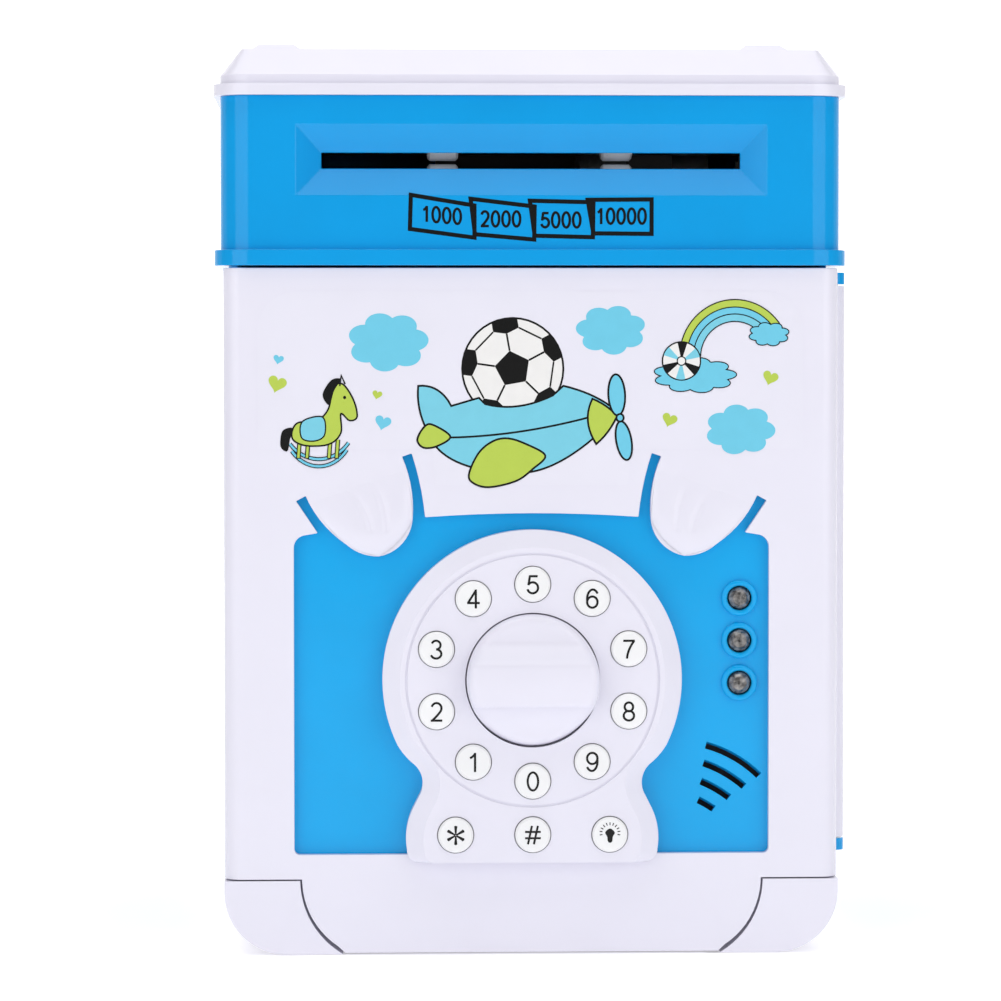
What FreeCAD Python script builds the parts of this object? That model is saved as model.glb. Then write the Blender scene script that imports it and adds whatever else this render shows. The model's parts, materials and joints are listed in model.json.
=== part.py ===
import FreeCAD, Part
import math
import os
import re
import Sketcher

# A toy cash-machine money box: a white hinged door with a keypad and a locking knob, a blue
# strongbox behind it, and a blue head with a motor-fed note slot under a white lid.
# Millimetres. Origin under the middle of the box, +Z up, the door facing -Y, hinge at +X.

DOC = FreeCAD.newDocument("savings_bank")

DIMENSIONS = {
    # whole body
    "half_width": 64.6, "front": 56.5, "back": 56.5, "corner_radius": 6.5, "wall": 2.2,
    # levels, from the floor up
    "foot_height": 0.0, "base_top": 15.5, "case_low": 15.7, "case_high": 144.6,
    "rib_high": 147.9, "head_high": 180.1, "flange_high": 182.5, "top_high": 190.0,
    # lower case and base tray
    "case_half": 64.0, "case_front": 41.0, "case_wall": 2.4, "base_round": 13.0,
    "opening_half": 52.0, "opening_low": 20.0, "opening_high": 140.5,
    "foot_x": 46.0, "foot_y": 40.0, "foot_radius": 5.0,
    # head and note slot
    "head_half": 65.2, "rib_half": 66.5, "rib_overhang": 1.3, "slot_level": 166.6, "slot_half": 44.0,
    "slot_height": 3.3, "funnel_half": 49.35, "funnel_height": 14.9, "funnel_depth": 3.6,
    # lid and handle
    "flange_half": 66.6, "flange_overhang": 1.4, "lid_slope": 5.6, "lid_drop": 4.4,
    "boss_x": 54.4, "boss_y": 6.5, "boss_half": 6.6, "boss_top_half": 3.9,
    "boss_height": 5.1, "handle_pivot": 1.7, "handle_half": 1.5, "handle_pin": 0.8,
    "handle_inner": 40.8, "handle_outer": 45.8,
    "handle_reach": 38.0, "grip_depth": 9.0, "coin_y": 17.0, "coin_half": 17.0,
    "coin_width": 5.0,
    # door
    "door_rear": 41.5, "door_low": 16.3, "door_high": 144.1, "door_round": 3.6,
    "window_half": 49.9, "window_low": 21.0, "panel_thick": 2.0, "back_thick": 2.0,
    "tongue_low": 0.8, "tongue_skin": 0.4, "seam": 0.42,
    # hinge
    "hinge_x": 65.3, "hinge_y": 41.3, "hinge_radius": 2.2, "pin_radius": 0.8,
    "hinge_low": 19.9, "hinge_high": 143.4, "knuckle": 2.5, "running_gap": 0.05,
    # dial housing, keys and knob
    "dial_low": 19.6, "dial_level": 57.9, "dial_radius": 31.4, "dial_front": 60.3,
    "key_ring": 21.15, "key_top_drop": 1.05, "groove_radius": 26.2, "groove_width": 0.5,
    "key_radius": 3.7, "key_hole": 3.88, "key_face": 61.0,
    "key_row": 25.5, "dial_bevel": 2.0, "key_pitch": 16.15, "knob_radius": 13.85,
    "knob_hole": 14.12,
    "knob_front": 66.6, "shaft_radius": 2.5, "scoop_radius": 8.5, "scoop_level": 13.0,
    # lights and speaker
    "light_x": 43.8, "light_low": 56.8, "light_pitch": 8.95, "light_radius": 2.45,
    "speaker_x": 40.6, "speaker_level": 37.0, "speaker_radius": 13.0,
    # lock
    "cam_radius": 15.5, "cam_near": 34.5, "cam_far": 36.5, "bolt_throw": 6.0,
    "slot_start": 6.0, "cam_slot": 1.25, "bolt_pin": 1.0, "bolt_half": 4.0,
    "plunger_radius": 1.3, "plunger_stroke": 3.0, "notch_depth": 2.8,
    # batteries
    "cell_radius": 7.1, "cell_length": 50.0, "cell_pitch": 14.6, "cell_low": 101.4,
    "cell_y": 33.3,
    # note feeder
    "feed_y": 43.5, "feed_level": 159.2, "roller_radius": 7.1, "roller_x": 18.4,
    "roller_half": 3.25, "pinch_level": 173.9, "pinch_radius": 6.9, "axle_radius": 1.5,
    "gear_module": 0.7, "feed_teeth": 20.0, "idler_teeth": 30.0, "pinion_teeth": 10.0,
    "gear_near": 47.0, "gear_width": 4.0, "idler_rise": 8.0, "pinion_rise": 12.0,
    "motor_radius": 10.0,
}


def make_sheet():
    """The spreadsheet that holds every driving dimension under its own alias."""
    sheet = DOC.addObject("Spreadsheet::Sheet", "dims")
    for row, (name, size) in enumerate(DIMENSIONS.items(), start=1):
        sheet.set("A%d" % row, name)
        sheet.set("B%d" % row, repr(size))
        sheet.setAlias("B%d" % row, name)
    DOC.recompute()
    return sheet


SHEET = make_sheet()
FINISHED = []


def size(name):
    """A driving dimension, read back from the sheet."""
    return float(SHEET.get(name))


def formula(text):
    """An expression in which each dimension's name points at the sheet."""
    return re.sub(r"[a-z_]+", lambda word: "dims." + word.group()
                  if word.group() in DIMENSIONS else word.group(), str(text))


def value(text):
    """What an expression is worth now, for a sketch's first placing."""
    return float(SHEET.evalExpression(formula(text)))


def finish(thing, label):
    """Name a sub-part; its label becomes its file's name."""
    thing.Label = label
    FINISHED.append(thing)
    return thing


# ---------------------------------------------------------------- primitives

def box(x_low, x_high, y_low, y_high, z_low, z_high):
    """A block between expressions for its low and high sides."""
    block = DOC.addObject("Part::Box", "block")
    spans = (("Length", "x", x_low, x_high), ("Width", "y", y_low, y_high),
             ("Height", "z", z_low, z_high))
    for side, axis, low, high in spans:
        block.setExpression(side, formula("(%s) - (%s)" % (high, low)))
        block.setExpression("Placement.Base." + axis, formula(low))
    return block


def rod(axis, across, radius, low, high):
    """A cylinder along an axis; `across` places it on the other two, in X, Y, Z order."""
    turns = {"x": FreeCAD.Rotation(FreeCAD.Vector(0, 1, 0), 90),
             "y": FreeCAD.Rotation(FreeCAD.Vector(1, 0, 0), -90),
             "z": FreeCAD.Rotation()}
    cylinder = DOC.addObject("Part::Cylinder", "rod")
    cylinder.Placement = FreeCAD.Placement(FreeCAD.Vector(), turns[axis])
    cylinder.setExpression("Radius", formula(radius))
    cylinder.setExpression("Height", formula("(%s) - (%s)" % (high, low)))
    others = [name for name in "xyz" if name != axis]
    for name, text in zip(others + [axis], list(across) + [low]):
        cylinder.setExpression("Placement.Base." + name, formula(text))
    return cylinder


def fuse(*pieces):
    """One solid from overlapping pieces."""
    joined = DOC.addObject("Part::MultiFuse", "joined")
    joined.Shapes = list(pieces)
    joined.Refine = True
    return joined


def cut(base, *tools):
    """The base with every tool taken out of it."""
    remains = DOC.addObject("Part::Cut", "remains")
    remains.Base = base
    remains.Tool = tools[0] if len(tools) == 1 else fuse(*tools)
    return remains


def group(*pieces):
    """Separate solids kept together in one node."""
    together = DOC.addObject("Part::Compound", "group")
    together.Links = list(pieces)
    return together


# ---------------------------------------------------------------- sketched bodies

def new_body(label):
    return DOC.addObject("PartDesign::Body", label + "_body")


def sketch_on(body, role, offset):
    """A sketch on one of the body's origin planes, moved along the plane's normal."""
    sketch = body.newObject("Sketcher::SketchObject", "sketch")
    plane = next(item for item in body.Origin.OriginFeatures if item.Role == role)
    sketch.AttachmentSupport = [(plane, "")]
    sketch.MapMode = "FlatFace"
    sketch.setExpression("AttachmentOffset.Base.z", formula(offset))
    return sketch


def draw_polygon(sketch, corners):
    """Straight edges between corners whose two coordinates are driven by expressions."""
    first = sketch.GeometryCount
    points = [FreeCAD.Vector(value(across), value(up), 0) for across, up in corners]
    for here, there in zip(points, points[1:] + points[:1]):
        sketch.addGeometry(Part.LineSegment(here, there))
    count = len(corners)
    for index, (across, up) in enumerate(corners):
        edge = first + index
        following = first + (index + 1) % count
        sketch.addConstraint(Sketcher.Constraint("Coincident", edge, 2, following, 1))
        for kind, text, place in (("DistanceX", across, points[index].x),
                                  ("DistanceY", up, points[index].y)):
            number = sketch.addConstraint(Sketcher.Constraint(kind, -1, 1, edge, 1, place))
            sketch.setExpression("Constraints[%d]" % number, formula(text))


def draw_rectangle(sketch, left, low, right, high):
    draw_polygon(sketch, [(left, low), (right, low), (right, high), (left, high)])


def draw_circle(sketch, across, up, radius):
    """A circle whose centre and radius are driven by expressions."""
    centre = FreeCAD.Vector(value(across), value(up), 0)
    circle = sketch.addGeometry(Part.Circle(centre, FreeCAD.Vector(0, 0, 1), value(radius)))
    for kind, text, start in (("DistanceX", across, centre.x), ("DistanceY", up, centre.y)):
        number = sketch.addConstraint(Sketcher.Constraint(kind, -1, 1, circle, 3, start))
        sketch.setExpression("Constraints[%d]" % number, formula(text))
    number = sketch.addConstraint(Sketcher.Constraint("Radius", circle, value(radius)))
    sketch.setExpression("Constraints[%d]" % number, formula(radius))


def draw_edges(sketch, edges):
    """Free outline: an edge of two points is straight, one of three is an arc through them."""
    for edge in edges:
        points = [FreeCAD.Vector(across, up, 0) for across, up in edge]
        if len(points) == 2:
            sketch.addGeometry(Part.LineSegment(*points))
        else:
            sketch.addGeometry(Part.Arc(*points))


def chain(*stops):
    """Edges through stops; a stop of two points is reached by an arc through the first."""
    edges = []
    here = stops[0]
    for stop in stops[1:]:
        if isinstance(stop[0], tuple):
            edges.append((here, stop[0], stop[1]))
            here = stop[1]
        else:
            edges.append((here, stop))
            here = stop
    return edges


def with_mirror(edges):
    """Edges drawn on the +X side, with their mirror images on the -X side."""
    flipped = [tuple((-across, up) for across, up in edge) for edge in edges]
    return list(edges) + flipped


def extrude(body, sketch, length, kind="PartDesign::Pad", backwards=False):
    """Pad or pocket a sketch; a pocket that takes nothing away is an error."""
    before = body.Shape.Volume if body.Tip else 0.0
    feature = body.newObject(kind, "extrude")
    feature.Profile = sketch
    feature.setExpression("Length", formula(length))
    feature.Reversed = backwards
    sketch.Visibility = False
    DOC.recompute()
    change = body.Shape.Volume - before
    if (kind == "PartDesign::Pad") != (change > 0):
        raise RuntimeError("%s: %s changed the volume by %.1f" % (body.Label, kind, change))
    return feature


def pocket(body, sketch, length, backwards=False):
    return extrude(body, sketch, length, "PartDesign::Pocket", backwards)


def edges_where(feature, test):
    """Names of the edges whose ends and middle all pass a test."""
    names = []
    for number, edge in enumerate(feature.Shape.Edges, start=1):
        middle = edge.valueAt((edge.FirstParameter + edge.LastParameter) / 2)
        places = [vertex.Point for vertex in edge.Vertexes] + [middle]
        if all(test(place) for place in places):
            names.append("Edge%d" % number)
    return names


def dress(body, kind, amount, test, second=None):
    """Fillet or chamfer the edges that pass a test."""
    base = body.Tip
    feature = body.newObject(kind, "dress")
    feature.Base = (base, edges_where(base, test))
    if kind == "PartDesign::Fillet":
        feature.setExpression("Radius", formula(amount))
    else:
        feature.setExpression("Size", formula(amount))
        if second:
            feature.ChamferType = "Two distances"
            feature.setExpression("Size2", formula(second))
    DOC.recompute()
    if "Invalid" in feature.State:
        raise RuntimeError("%s: no %s of %s on %s" % (body.Label, kind, amount, feature.Base))
    return feature


def upright(x_half, y_low, y_high):
    """A test for the vertical edges at the corners of a rectangle."""
    def test(place):
        at_side = abs(abs(place.x) - x_half) < 0.01
        return at_side and (abs(place.y - y_low) < 0.01 or abs(place.y - y_high) < 0.01)
    return test


def tube(label, x_half, y_low, y_high, z_low, z_high, radius, wall, floor=None):
    """A rounded rectangular wall, open on top, with a floor if one is given."""
    body = new_body(label)
    outer = sketch_on(body, "XY_Plane", z_low)
    draw_rectangle(outer, "-(%s)" % x_half, y_low, x_half, y_high)
    extrude(body, outer, "(%s) - (%s)" % (z_high, z_low))
    dress(body, "PartDesign::Fillet", radius,
          upright(value(x_half), value(y_low), value(y_high)))
    inner = sketch_on(body, "XY_Plane", z_high)
    inner_half = "(%s) - %s" % (x_half, wall)
    inner_low = "(%s) + %s" % (y_low, wall)
    inner_high = "(%s) - %s" % (y_high, wall)
    draw_rectangle(inner, "-(%s)" % inner_half, inner_low, inner_half, inner_high)
    depth = "(%s) - (%s)" % (z_high, floor or z_low)
    pocket(body, inner, depth)
    dress(body, "PartDesign::Fillet", "(%s) - %s" % (radius, wall),
          upright(value(inner_half), value(inner_low), value(inner_high)))
    return body


def turned(label, profile, place, turn=None):
    """A solid of revolution about the Y direction, from (radius, y) corners, then placed."""
    body = new_body(label)
    sketch = sketch_on(body, "XY_Plane", "0")
    draw_polygon(sketch, profile)
    revolution = body.newObject("PartDesign::Revolution", "revolution")
    revolution.Profile = sketch
    revolution.ReferenceAxis = (sketch, ["V_Axis"])
    revolution.Angle = 360
    sketch.Visibility = False
    if turn:
        body.Placement = FreeCAD.Placement(FreeCAD.Vector(), turn)
    for axis, text in zip("xyz", place):
        body.setExpression("Placement.Base." + axis, formula(text))
    return body


ALONG_X = FreeCAD.Rotation(FreeCAD.Vector(0, 0, 1), -90)
ALONG_Z = FreeCAD.Rotation(FreeCAD.Vector(1, 0, 0), 90)


def screw(place, turn, length):
    """A pan-head screw; its head sits at the placed point and its shank runs along the turn."""
    profile = [("0", "-1.6"), ("2.0", "-1.6"), ("2.7", "-0.9"), ("2.7", "0"), ("1.3", "0"),
               ("1.3", length), ("0", length)]
    return turned("screw", profile, place, turn)


# ---------------------------------------------------------------- strongbox

def lower_case():
    """Blue strongbox: floor, sides, back and a front frame with knuckles for the door."""
    shell = tube("lower_case", "case_half", "-case_front", "back", "case_low", "case_high",
                 "corner_radius", "case_wall", "case_low + case_wall")
    post = box("case_half - 8", "case_half", "-case_front", "-case_front + 8", "case_low",
               "case_high")
    web_low = box("case_half - 2", "hinge_x", "-hinge_y", "-hinge_y + 7",
                  "hinge_low", "hinge_low + knuckle")
    web_high = box("case_half - 2", "hinge_x", "-hinge_y", "-hinge_y + 7",
                   "hinge_high - knuckle", "hinge_high")
    opening = box("-opening_half", "opening_half", "-case_front - 5", "-case_front + 5",
                  "opening_low", "opening_high")
    relief = box("hinge_x - hinge_radius - 0.8", "case_half + 5", "-case_front - 5",
                 "-case_front + 3.6", "case_low - 1", "case_high + 1")
    frame = cut(fuse(shell, post), opening, relief)
    knuckles = [rod("z", ("hinge_x", "-hinge_y"), "hinge_radius", low, high)
                for low, high in (("hinge_low", "hinge_low + knuckle"),
                                  ("hinge_high - knuckle", "hinge_high"))]
    bores = rod("z", ("hinge_x", "-hinge_y"), "pin_radius", "hinge_low + 0.2",
                "hinge_high - 0.2")
    finish(cut(fuse(frame, web_low, web_high, *knuckles), bores), "lower_case")


def lower_outline(inset):
    """Half of the tray's front outline: side, round bottom corner and half of the bottom."""
    half = size("half_width") - inset
    low = size("foot_height") + inset
    round_size = size("base_round") - inset
    slack = round_size * (1 - math.sqrt(0.5))
    return half, low, round_size, slack


def seam_edges(side_gap):
    """The curved seam between the door's tongue and a corner of the tray, on the +X side."""
    top = (48.3 + side_gap, size("base_top"))
    middle = (45.6 + side_gap, 6.6 - side_gap)
    bottom = (39.3 + side_gap, size("foot_height"))
    return top, middle, bottom


def base_tray():
    """White tray under the strongbox, with the two front corners that flank the door."""
    body = new_body("base_tray")
    for inset, kind in ((0.0, "PartDesign::Pad"), (size("wall"), "PartDesign::Pocket")):
        half, low, round_size, slack = lower_outline(inset)
        top = size("base_top")
        side = chain((0, low), (half - round_size, low),
                     ((half - slack, low + slack), (half, low + round_size)),
                     (half, top), (0, top))
        edges = with_mirror(side)
        sketch = sketch_on(body, "XZ_Plane", "case_front" if inset == 0 else
                           "case_front - wall")
        draw_edges(sketch, edges)
        length = "case_front + back" if inset == 0 else "case_front + back - 2 * wall"
        extrude(body, sketch, length, kind, backwards=kind == "PartDesign::Pad")
    half, low, round_size, slack = lower_outline(0.0)
    top, middle, bottom = seam_edges(size("seam"))
    for side in (1, -1):
        corner = chain(top, (middle, bottom), (half - round_size, low),
                       ((half - slack, low + slack), (half, low + round_size)),
                       (half, top[1]), top)
        sketch = sketch_on(body, "XZ_Plane", "front")
        draw_edges(sketch, [tuple((side * across, up) for across, up in edge)
                            for edge in corner])
        extrude(body, sketch, "front - case_front", backwards=True)
    hollow = sketch_on(body, "XY_Plane", "base_top")
    for low_x, high_x in (("51", "half_width - wall"), ("-half_width + wall", "-51")):
        draw_rectangle(hollow, low_x, "-front + wall", high_x, "-case_front + 1")
    pocket(body, hollow, "base_top - 6.5")
    feet = [rod("z", (x, y), "foot_radius + 0.1", "0", "foot_height + 1.2")
            for x, y in foot_places()]
    pads = [rod("z", (x, y), "foot_radius + 1.6", "foot_height", "foot_height + 3")
            for x, y in foot_places()]
    posts = [rod("z", (x, y), "3.2", "foot_height", "base_top") for x, y in base_screw_places()]
    holes = [rod("z", (x, y), "1.3", "0", "base_top + 1") for x, y in base_screw_places()]
    sinks = [rod("z", (x, y), "3.0", "0", "foot_height + 3.4") for x, y in base_screw_places()]
    finish(cut(fuse(body, *pads, *posts), *feet, *holes, *sinks), "base_tray")


def foot_places():
    return [(x, y) for x in ("foot_x", "-foot_x") for y in ("foot_y", "-foot_y + 8")]


def base_screw_places():
    return [(x, y) for x in ("foot_x - 14", "-foot_x + 14") for y in ("foot_y", "-foot_y + 8")]


def rubber_feet():
    feet = [turned("foot", [("0", "0"), ("foot_radius - 0.8", "0"), ("foot_radius", "0.8"),
                            ("foot_radius", "foot_height + 1.2"), ("0", "foot_height + 1.2")],
                   (x, y, "0"), ALONG_Z) for x, y in foot_places()]
    finish(group(*feet), "rubber_feet")


def case_screws():
    """Screws that hold the tray under the case and the lid on the head."""
    upward = [screw((x, y, "foot_height + 3.4"), ALONG_Z, "11.5")
              for x, y in base_screw_places()]
    lid = [screw((x, y, "head_high - 9"), ALONG_Z, "12") for x, y in lid_screw_places()]
    finish(group(*upward, *lid), "case_screws")


def lid_screw_places():
    return [(x, y) for x in ("57.5", "-57.5") for y in ("46", "-44")]


def hinge_pins():
    low = rod("z", ("hinge_x", "-hinge_y"), "pin_radius", "hinge_low + 0.2", "hinge_low + 11")
    high = rod("z", ("hinge_x", "-hinge_y"), "pin_radius", "hinge_high - 11",
               "hinge_high - 0.2")
    finish(group(low, high), "hinge_pins")


# ---------------------------------------------------------------- head and lid

PIVOT = ("boss_y", "top_high + handle_pivot")


def head_housing():
    """Blue head: a rounded wall with a rib round its foot and a funnel-shaped note slot."""
    wall_body = tube("head", "head_half", "-front", "back", "rib_high", "head_high",
                     "corner_radius", "wall")
    rib = tube("rib", "rib_half", "-front - rib_overhang", "back + rib_overhang",
               "case_high", "rib_high", "corner_radius + rib_overhang",
               "(rib_overhang + 3.4)")
    boss = box("-funnel_half - 2", "funnel_half + 2", "-front + wall - 0.5",
               "-front + funnel_depth + 1.0", "slot_level - funnel_height / 2 - 1.5",
               "slot_level + funnel_height / 2 + 1.5")
    posts = [rod("z", (x, y), "3.4", "rib_high - 1", "head_high")
             for x, y in lid_screw_places()]
    shelves = [box("head_half - 10" if x == "57.5" else "-head_half + 1",
                   "head_half - 1" if x == "57.5" else "-head_half + 10",
                   y + " - 4", y + " + 4", "rib_high - 1", "rib_high + 1.4")
               for x, y in lid_screw_places()]
    funnel = DOC.addObject("Part::Wedge", "funnel")
    wedge = {"Xmin": "-funnel_half", "Xmax": "funnel_half", "X2min": "-slot_half",
             "X2max": "slot_half", "Ymin": "-front", "Ymax": "-front + funnel_depth",
             "Zmin": "slot_level - funnel_height / 2", "Zmax": "slot_level + funnel_height / 2",
             "Z2min": "slot_level - slot_height / 2", "Z2max": "slot_level + slot_height / 2"}
    for name, text in wedge.items():
        funnel.setExpression(name, formula(text))
    slot = box("-slot_half", "slot_half", "-front - 1", "-front + 8",
               "slot_level - slot_height / 2", "slot_level + slot_height / 2")
    holes = [rod("z", (x, y), "1.5", "rib_high - 2", "head_high + 1")
             for x, y in lid_screw_places()]
    sinks = [rod("z", (x, y), "2.9", "rib_high - 2", "head_high - 9")
             for x, y in lid_screw_places()]
    shell = fuse(wall_body, rib, boss, *posts, *shelves)
    finish(cut(shell, funnel, slot, *holes, *sinks), "head_housing")


def top_lid():
    """White lid: flange, sloped top edge, coin slot and two bosses for the handle."""
    flange = tube("flange", "flange_half", "-front - flange_overhang",
                  "back + flange_overhang", "head_high", "flange_high",
                  "corner_radius + flange_overhang", "(flange_overhang + 1.5)")
    body = new_body("lid")
    block = sketch_on(body, "XY_Plane", "head_high")
    draw_rectangle(block, "-head_half", "-front", "head_half", "back")
    extrude(body, block, "top_high - head_high")
    dress(body, "PartDesign::Fillet", "corner_radius",
          upright(size("head_half"), -size("front"), size("back")))
    top = size("top_high")
    dress(body, "PartDesign::Chamfer", "lid_slope", lambda place: abs(place.z - top) < 0.01,
          "lid_drop")
    for inset, ceiling in (("wall + 1.4", "flange_high + 2.2"), ("9.5", "top_high - 2.4")):
        hollow = sketch_on(body, "XY_Plane", "head_high")
        draw_rectangle(hollow, "-head_half + " + inset, "-front + " + inset,
                       "head_half - (%s)" % inset, "back - (%s)" % inset)
        pocket(body, hollow, "(%s) - head_high" % ceiling, backwards=True)
    bosses = [handle_boss(side) for side in ("", "-")]
    posts = [rod("z", (x, y), "3.4", "head_high", "flange_high + 3")
             for x, y in lid_screw_places()]
    holes = [rod("z", (x, y), "1.3", "head_high - 1", "head_high + 3.6")
             for x, y in lid_screw_places()]
    coin = box("-coin_half", "coin_half", "coin_y - coin_width / 2",
               "coin_y + coin_width / 2", "head_high", "top_high + 1")
    pivots = rod("x", PIVOT, "handle_pin", "-boss_x - 1", "boss_x + 1")
    finish(cut(fuse(body, flange, *posts, *bosses), *holes, coin, pivots), "top_lid")


def handle_boss(side):
    """A boss that tapers upwards and carries one end of the handle."""
    boss = DOC.addObject("Part::Wedge", "boss")
    wedge = {"Xmin": "-boss_half", "Xmax": "boss_half", "X2min": "-boss_top_half",
             "X2max": "boss_top_half", "Ymin": "0", "Ymax": "2.0",
             "Zmin": "-boss_half", "Zmax": "boss_half", "Z2min": "-boss_half + 2.6",
             "Z2max": "boss_half - 2.6"}
    boss.Placement = FreeCAD.Placement(FreeCAD.Vector(), ALONG_Z)
    for name, text in wedge.items():
        boss.setExpression(name, formula(text))
    boss.setExpression("Placement.Base.x", formula(side + "boss_x"))
    boss.setExpression("Placement.Base.y", formula("boss_y"))
    boss.setExpression("Placement.Base.z", formula("top_high + boss_height - 2.0"))
    foot = box(side + "boss_x - boss_half", side + "boss_x + boss_half", "boss_y - boss_half",
               "boss_y + boss_half", "top_high - 0.5", "top_high + boss_height - 2.0")
    return fuse(boss, foot)


def handle_pins():
    pins = [rod("x", PIVOT, "handle_pin", low, high)
            for low, high in (("handle_inner + 1.2", "boss_x"), ("-boss_x",
                                                                "-handle_inner - 1.2"))]
    finish(group(*pins), "handle_pins")


def carry_handle():
    """A flat U that lies on the lid and swings up about two pins."""
    low = "top_high + handle_pivot - handle_half"
    high = "top_high + handle_pivot + handle_half"
    arms = [box(x_low, x_high, "boss_y", "boss_y + handle_reach", low, high)
            for x_low, x_high in (("handle_inner", "handle_outer"),
                                  ("-handle_outer", "-handle_inner"))]
    eyes = [rod("x", PIVOT, "handle_half", x_low, x_high)
            for x_low, x_high in (("handle_inner", "handle_outer"),
                                  ("-handle_outer", "-handle_inner"))]
    grip = box("-handle_outer", "handle_outer", "boss_y + handle_reach - grip_depth",
               "boss_y + handle_reach", low, high)
    bores = [rod("x", PIVOT, "handle_pin + running_gap", x_low, x_high)
             for x_low, x_high in (("handle_inner + 1.0", "handle_outer + 1"),
                                   ("-handle_outer - 1", "-handle_inner - 1.0"))]
    finish(cut(fuse(*arms, *eyes, grip), *bores), "carry_handle")


def coin_chute():
    """A sleeve that leads coins from the lid past the feeder."""
    outer = box("-coin_half - 1.6", "coin_half + 1.6", "coin_y - coin_width / 2 - 1.6",
                "coin_y + coin_width / 2 + 1.6", "rib_high", "top_high - 2.4")
    inner = box("-coin_half - 0.3", "coin_half + 0.3", "coin_y - coin_width / 2 - 0.3",
                "coin_y + coin_width / 2 + 0.3", "rib_high - 1", "top_high")
    finish(cut(outer, inner), "coin_chute")


# ---------------------------------------------------------------- note feeder

def gear(label, teeth, level_y, level_z, turn):
    """A spur gear with its axis along X: a blank, one tooth space, and a polar pattern."""
    body = new_body(label)
    count = int(size(teeth))
    module = size("gear_module")
    pitch = module * count / 2
    outer = pitch + 0.8 * module
    root = pitch - 1.1 * module
    blank = sketch_on(body, "YZ_Plane", "gear_near")
    draw_circle(blank, "0", "0", "gear_module * (%s / 2 + 0.8)" % teeth)
    extrude(body, blank, "gear_width")
    space = sketch_on(body, "YZ_Plane", "gear_near")
    half_angle = [(radius, math.pi / (2 * count) + slack / radius)
                  for radius, slack in ((root, -0.22), (pitch, 0.09), (outer + 0.4, 0.52))]
    right = [(radius * math.sin(angle), radius * math.cos(angle))
             for radius, angle in half_angle]
    left = [(-across, up) for across, up in right]
    draw_edges(space, [(right[0], right[1], right[2]), (right[2], left[2]),
                       (left[2], left[1], left[0]), (left[0], right[0])])
    cut_space = pocket(body, space, "gear_width", backwards=True)
    pattern = body.newObject("PartDesign::PolarPattern", "pattern")
    pattern.Originals = [cut_space]
    pattern.Axis = (space, ["N_Axis"])
    pattern.Angle = 360
    pattern.setExpression("Occurrences", formula(teeth))
    body.Tip = pattern
    bore = sketch_on(body, "YZ_Plane", "gear_near")
    draw_circle(bore, "0", "0", "axle_radius" if teeth != "idler_teeth" else
                "axle_radius + running_gap")
    pocket(body, bore, "gear_width", backwards=True)
    body.Placement = FreeCAD.Placement(FreeCAD.Vector(0, level_y, level_z),
                                       FreeCAD.Rotation(FreeCAD.Vector(1, 0, 0), turn))
    return finish(body, label)


def gear_train():
    """Motor pinion, idler and feed gear, turned so that their teeth mesh at rest."""
    module = size("gear_module")
    feed_y, feed_z = -size("feed_y"), size("feed_level")
    near = module * (size("feed_teeth") + size("idler_teeth")) / 2
    far = module * (size("idler_teeth") + size("pinion_teeth")) / 2
    rise = math.radians(size("idler_rise"))
    climb = math.radians(size("pinion_rise"))
    idler = (feed_y + near * math.cos(rise), feed_z + near * math.sin(rise))
    pinion = (idler[0] + far * math.cos(climb), idler[1] + far * math.sin(climb))
    # A tooth space points up (+Z) before a gear is turned; angles run from +Y towards +Z.
    feed_turn = size("idler_rise") - 90
    idler_pitch = 360 / size("idler_teeth")
    idler_turn = size("idler_rise") + 180 - 90 + idler_pitch / 2
    spaces = (size("pinion_rise") - 90 - idler_turn) / idler_pitch
    off_space = (spaces - math.floor(spaces)) * idler_pitch
    pinion_pitch = 360 / size("pinion_teeth")
    shift = off_space * size("idler_teeth") / size("pinion_teeth")
    pinion_turn = size("pinion_rise") + 180 - 90 + pinion_pitch / 2 + shift
    gear("feed_gear", "feed_teeth", feed_y, feed_z, feed_turn)
    gear("idler_gear", "idler_teeth", idler[0], idler[1], idler_turn)
    gear("motor_pinion", "pinion_teeth", pinion[0], pinion[1], pinion_turn)
    return idler, pinion


def shaft(label, y, z, low, high):
    return finish(rod("x", (y, z), "axle_radius", low, high), label)


def rollers(label, radius, level):
    """Two rubber rollers with crowned rims, side by side on one shaft."""
    profile = [("axle_radius", "-roller_half"), (radius + " - 0.5", "-roller_half"),
               (radius, "-roller_half + 0.5"), (radius, "roller_half - 0.5"),
               (radius + " - 0.5", "roller_half"), ("axle_radius", "roller_half")]
    pair = [turned("roller", profile, (x, "-feed_y", level), ALONG_X)
            for x in ("roller_x", "-roller_x")]
    finish(group(*pair), label)


def feeder_deck(idler):
    """Base plate and two cheeks that carry the shafts, the idler axle and the motor."""
    plate = box("-54", "54", "-34", "9", "rib_high + 0.3", "rib_high + 1.6")
    cheeks = [box(low, high, "-50.6", "9", "rib_high + 0.3", "head_high - 0.9")
              for low, high in (("52.4", "54"), ("-54", "-52.4"))]
    tabs = [box(low, high, "-22", "-8", "rib_high + 0.3", "rib_high + 1.9")
            for low, high in (("53", "head_half - wall - 0.1"),
                              ("-head_half + wall + 0.1", "-53"))]
    bores = [rod("x", ("-feed_y", level), "axle_radius + running_gap", "-55", "55")
             for level in ("feed_level", "pinch_level")]
    socket = rod("x", (idler[0], idler[1]), "axle_radius", "50", "55")
    drop = box("-46", "46", "-32", "-20", "rib_high - 1", "rib_high + 3")
    finish(cut(fuse(plate, *cheeks, *tabs), *bores, socket, drop), "feeder_deck")


def idler_axle(idler):
    finish(rod("x", (idler[0], idler[1]), "axle_radius", "gear_near - 1.5", "54"),
           "idler_axle")


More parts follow.
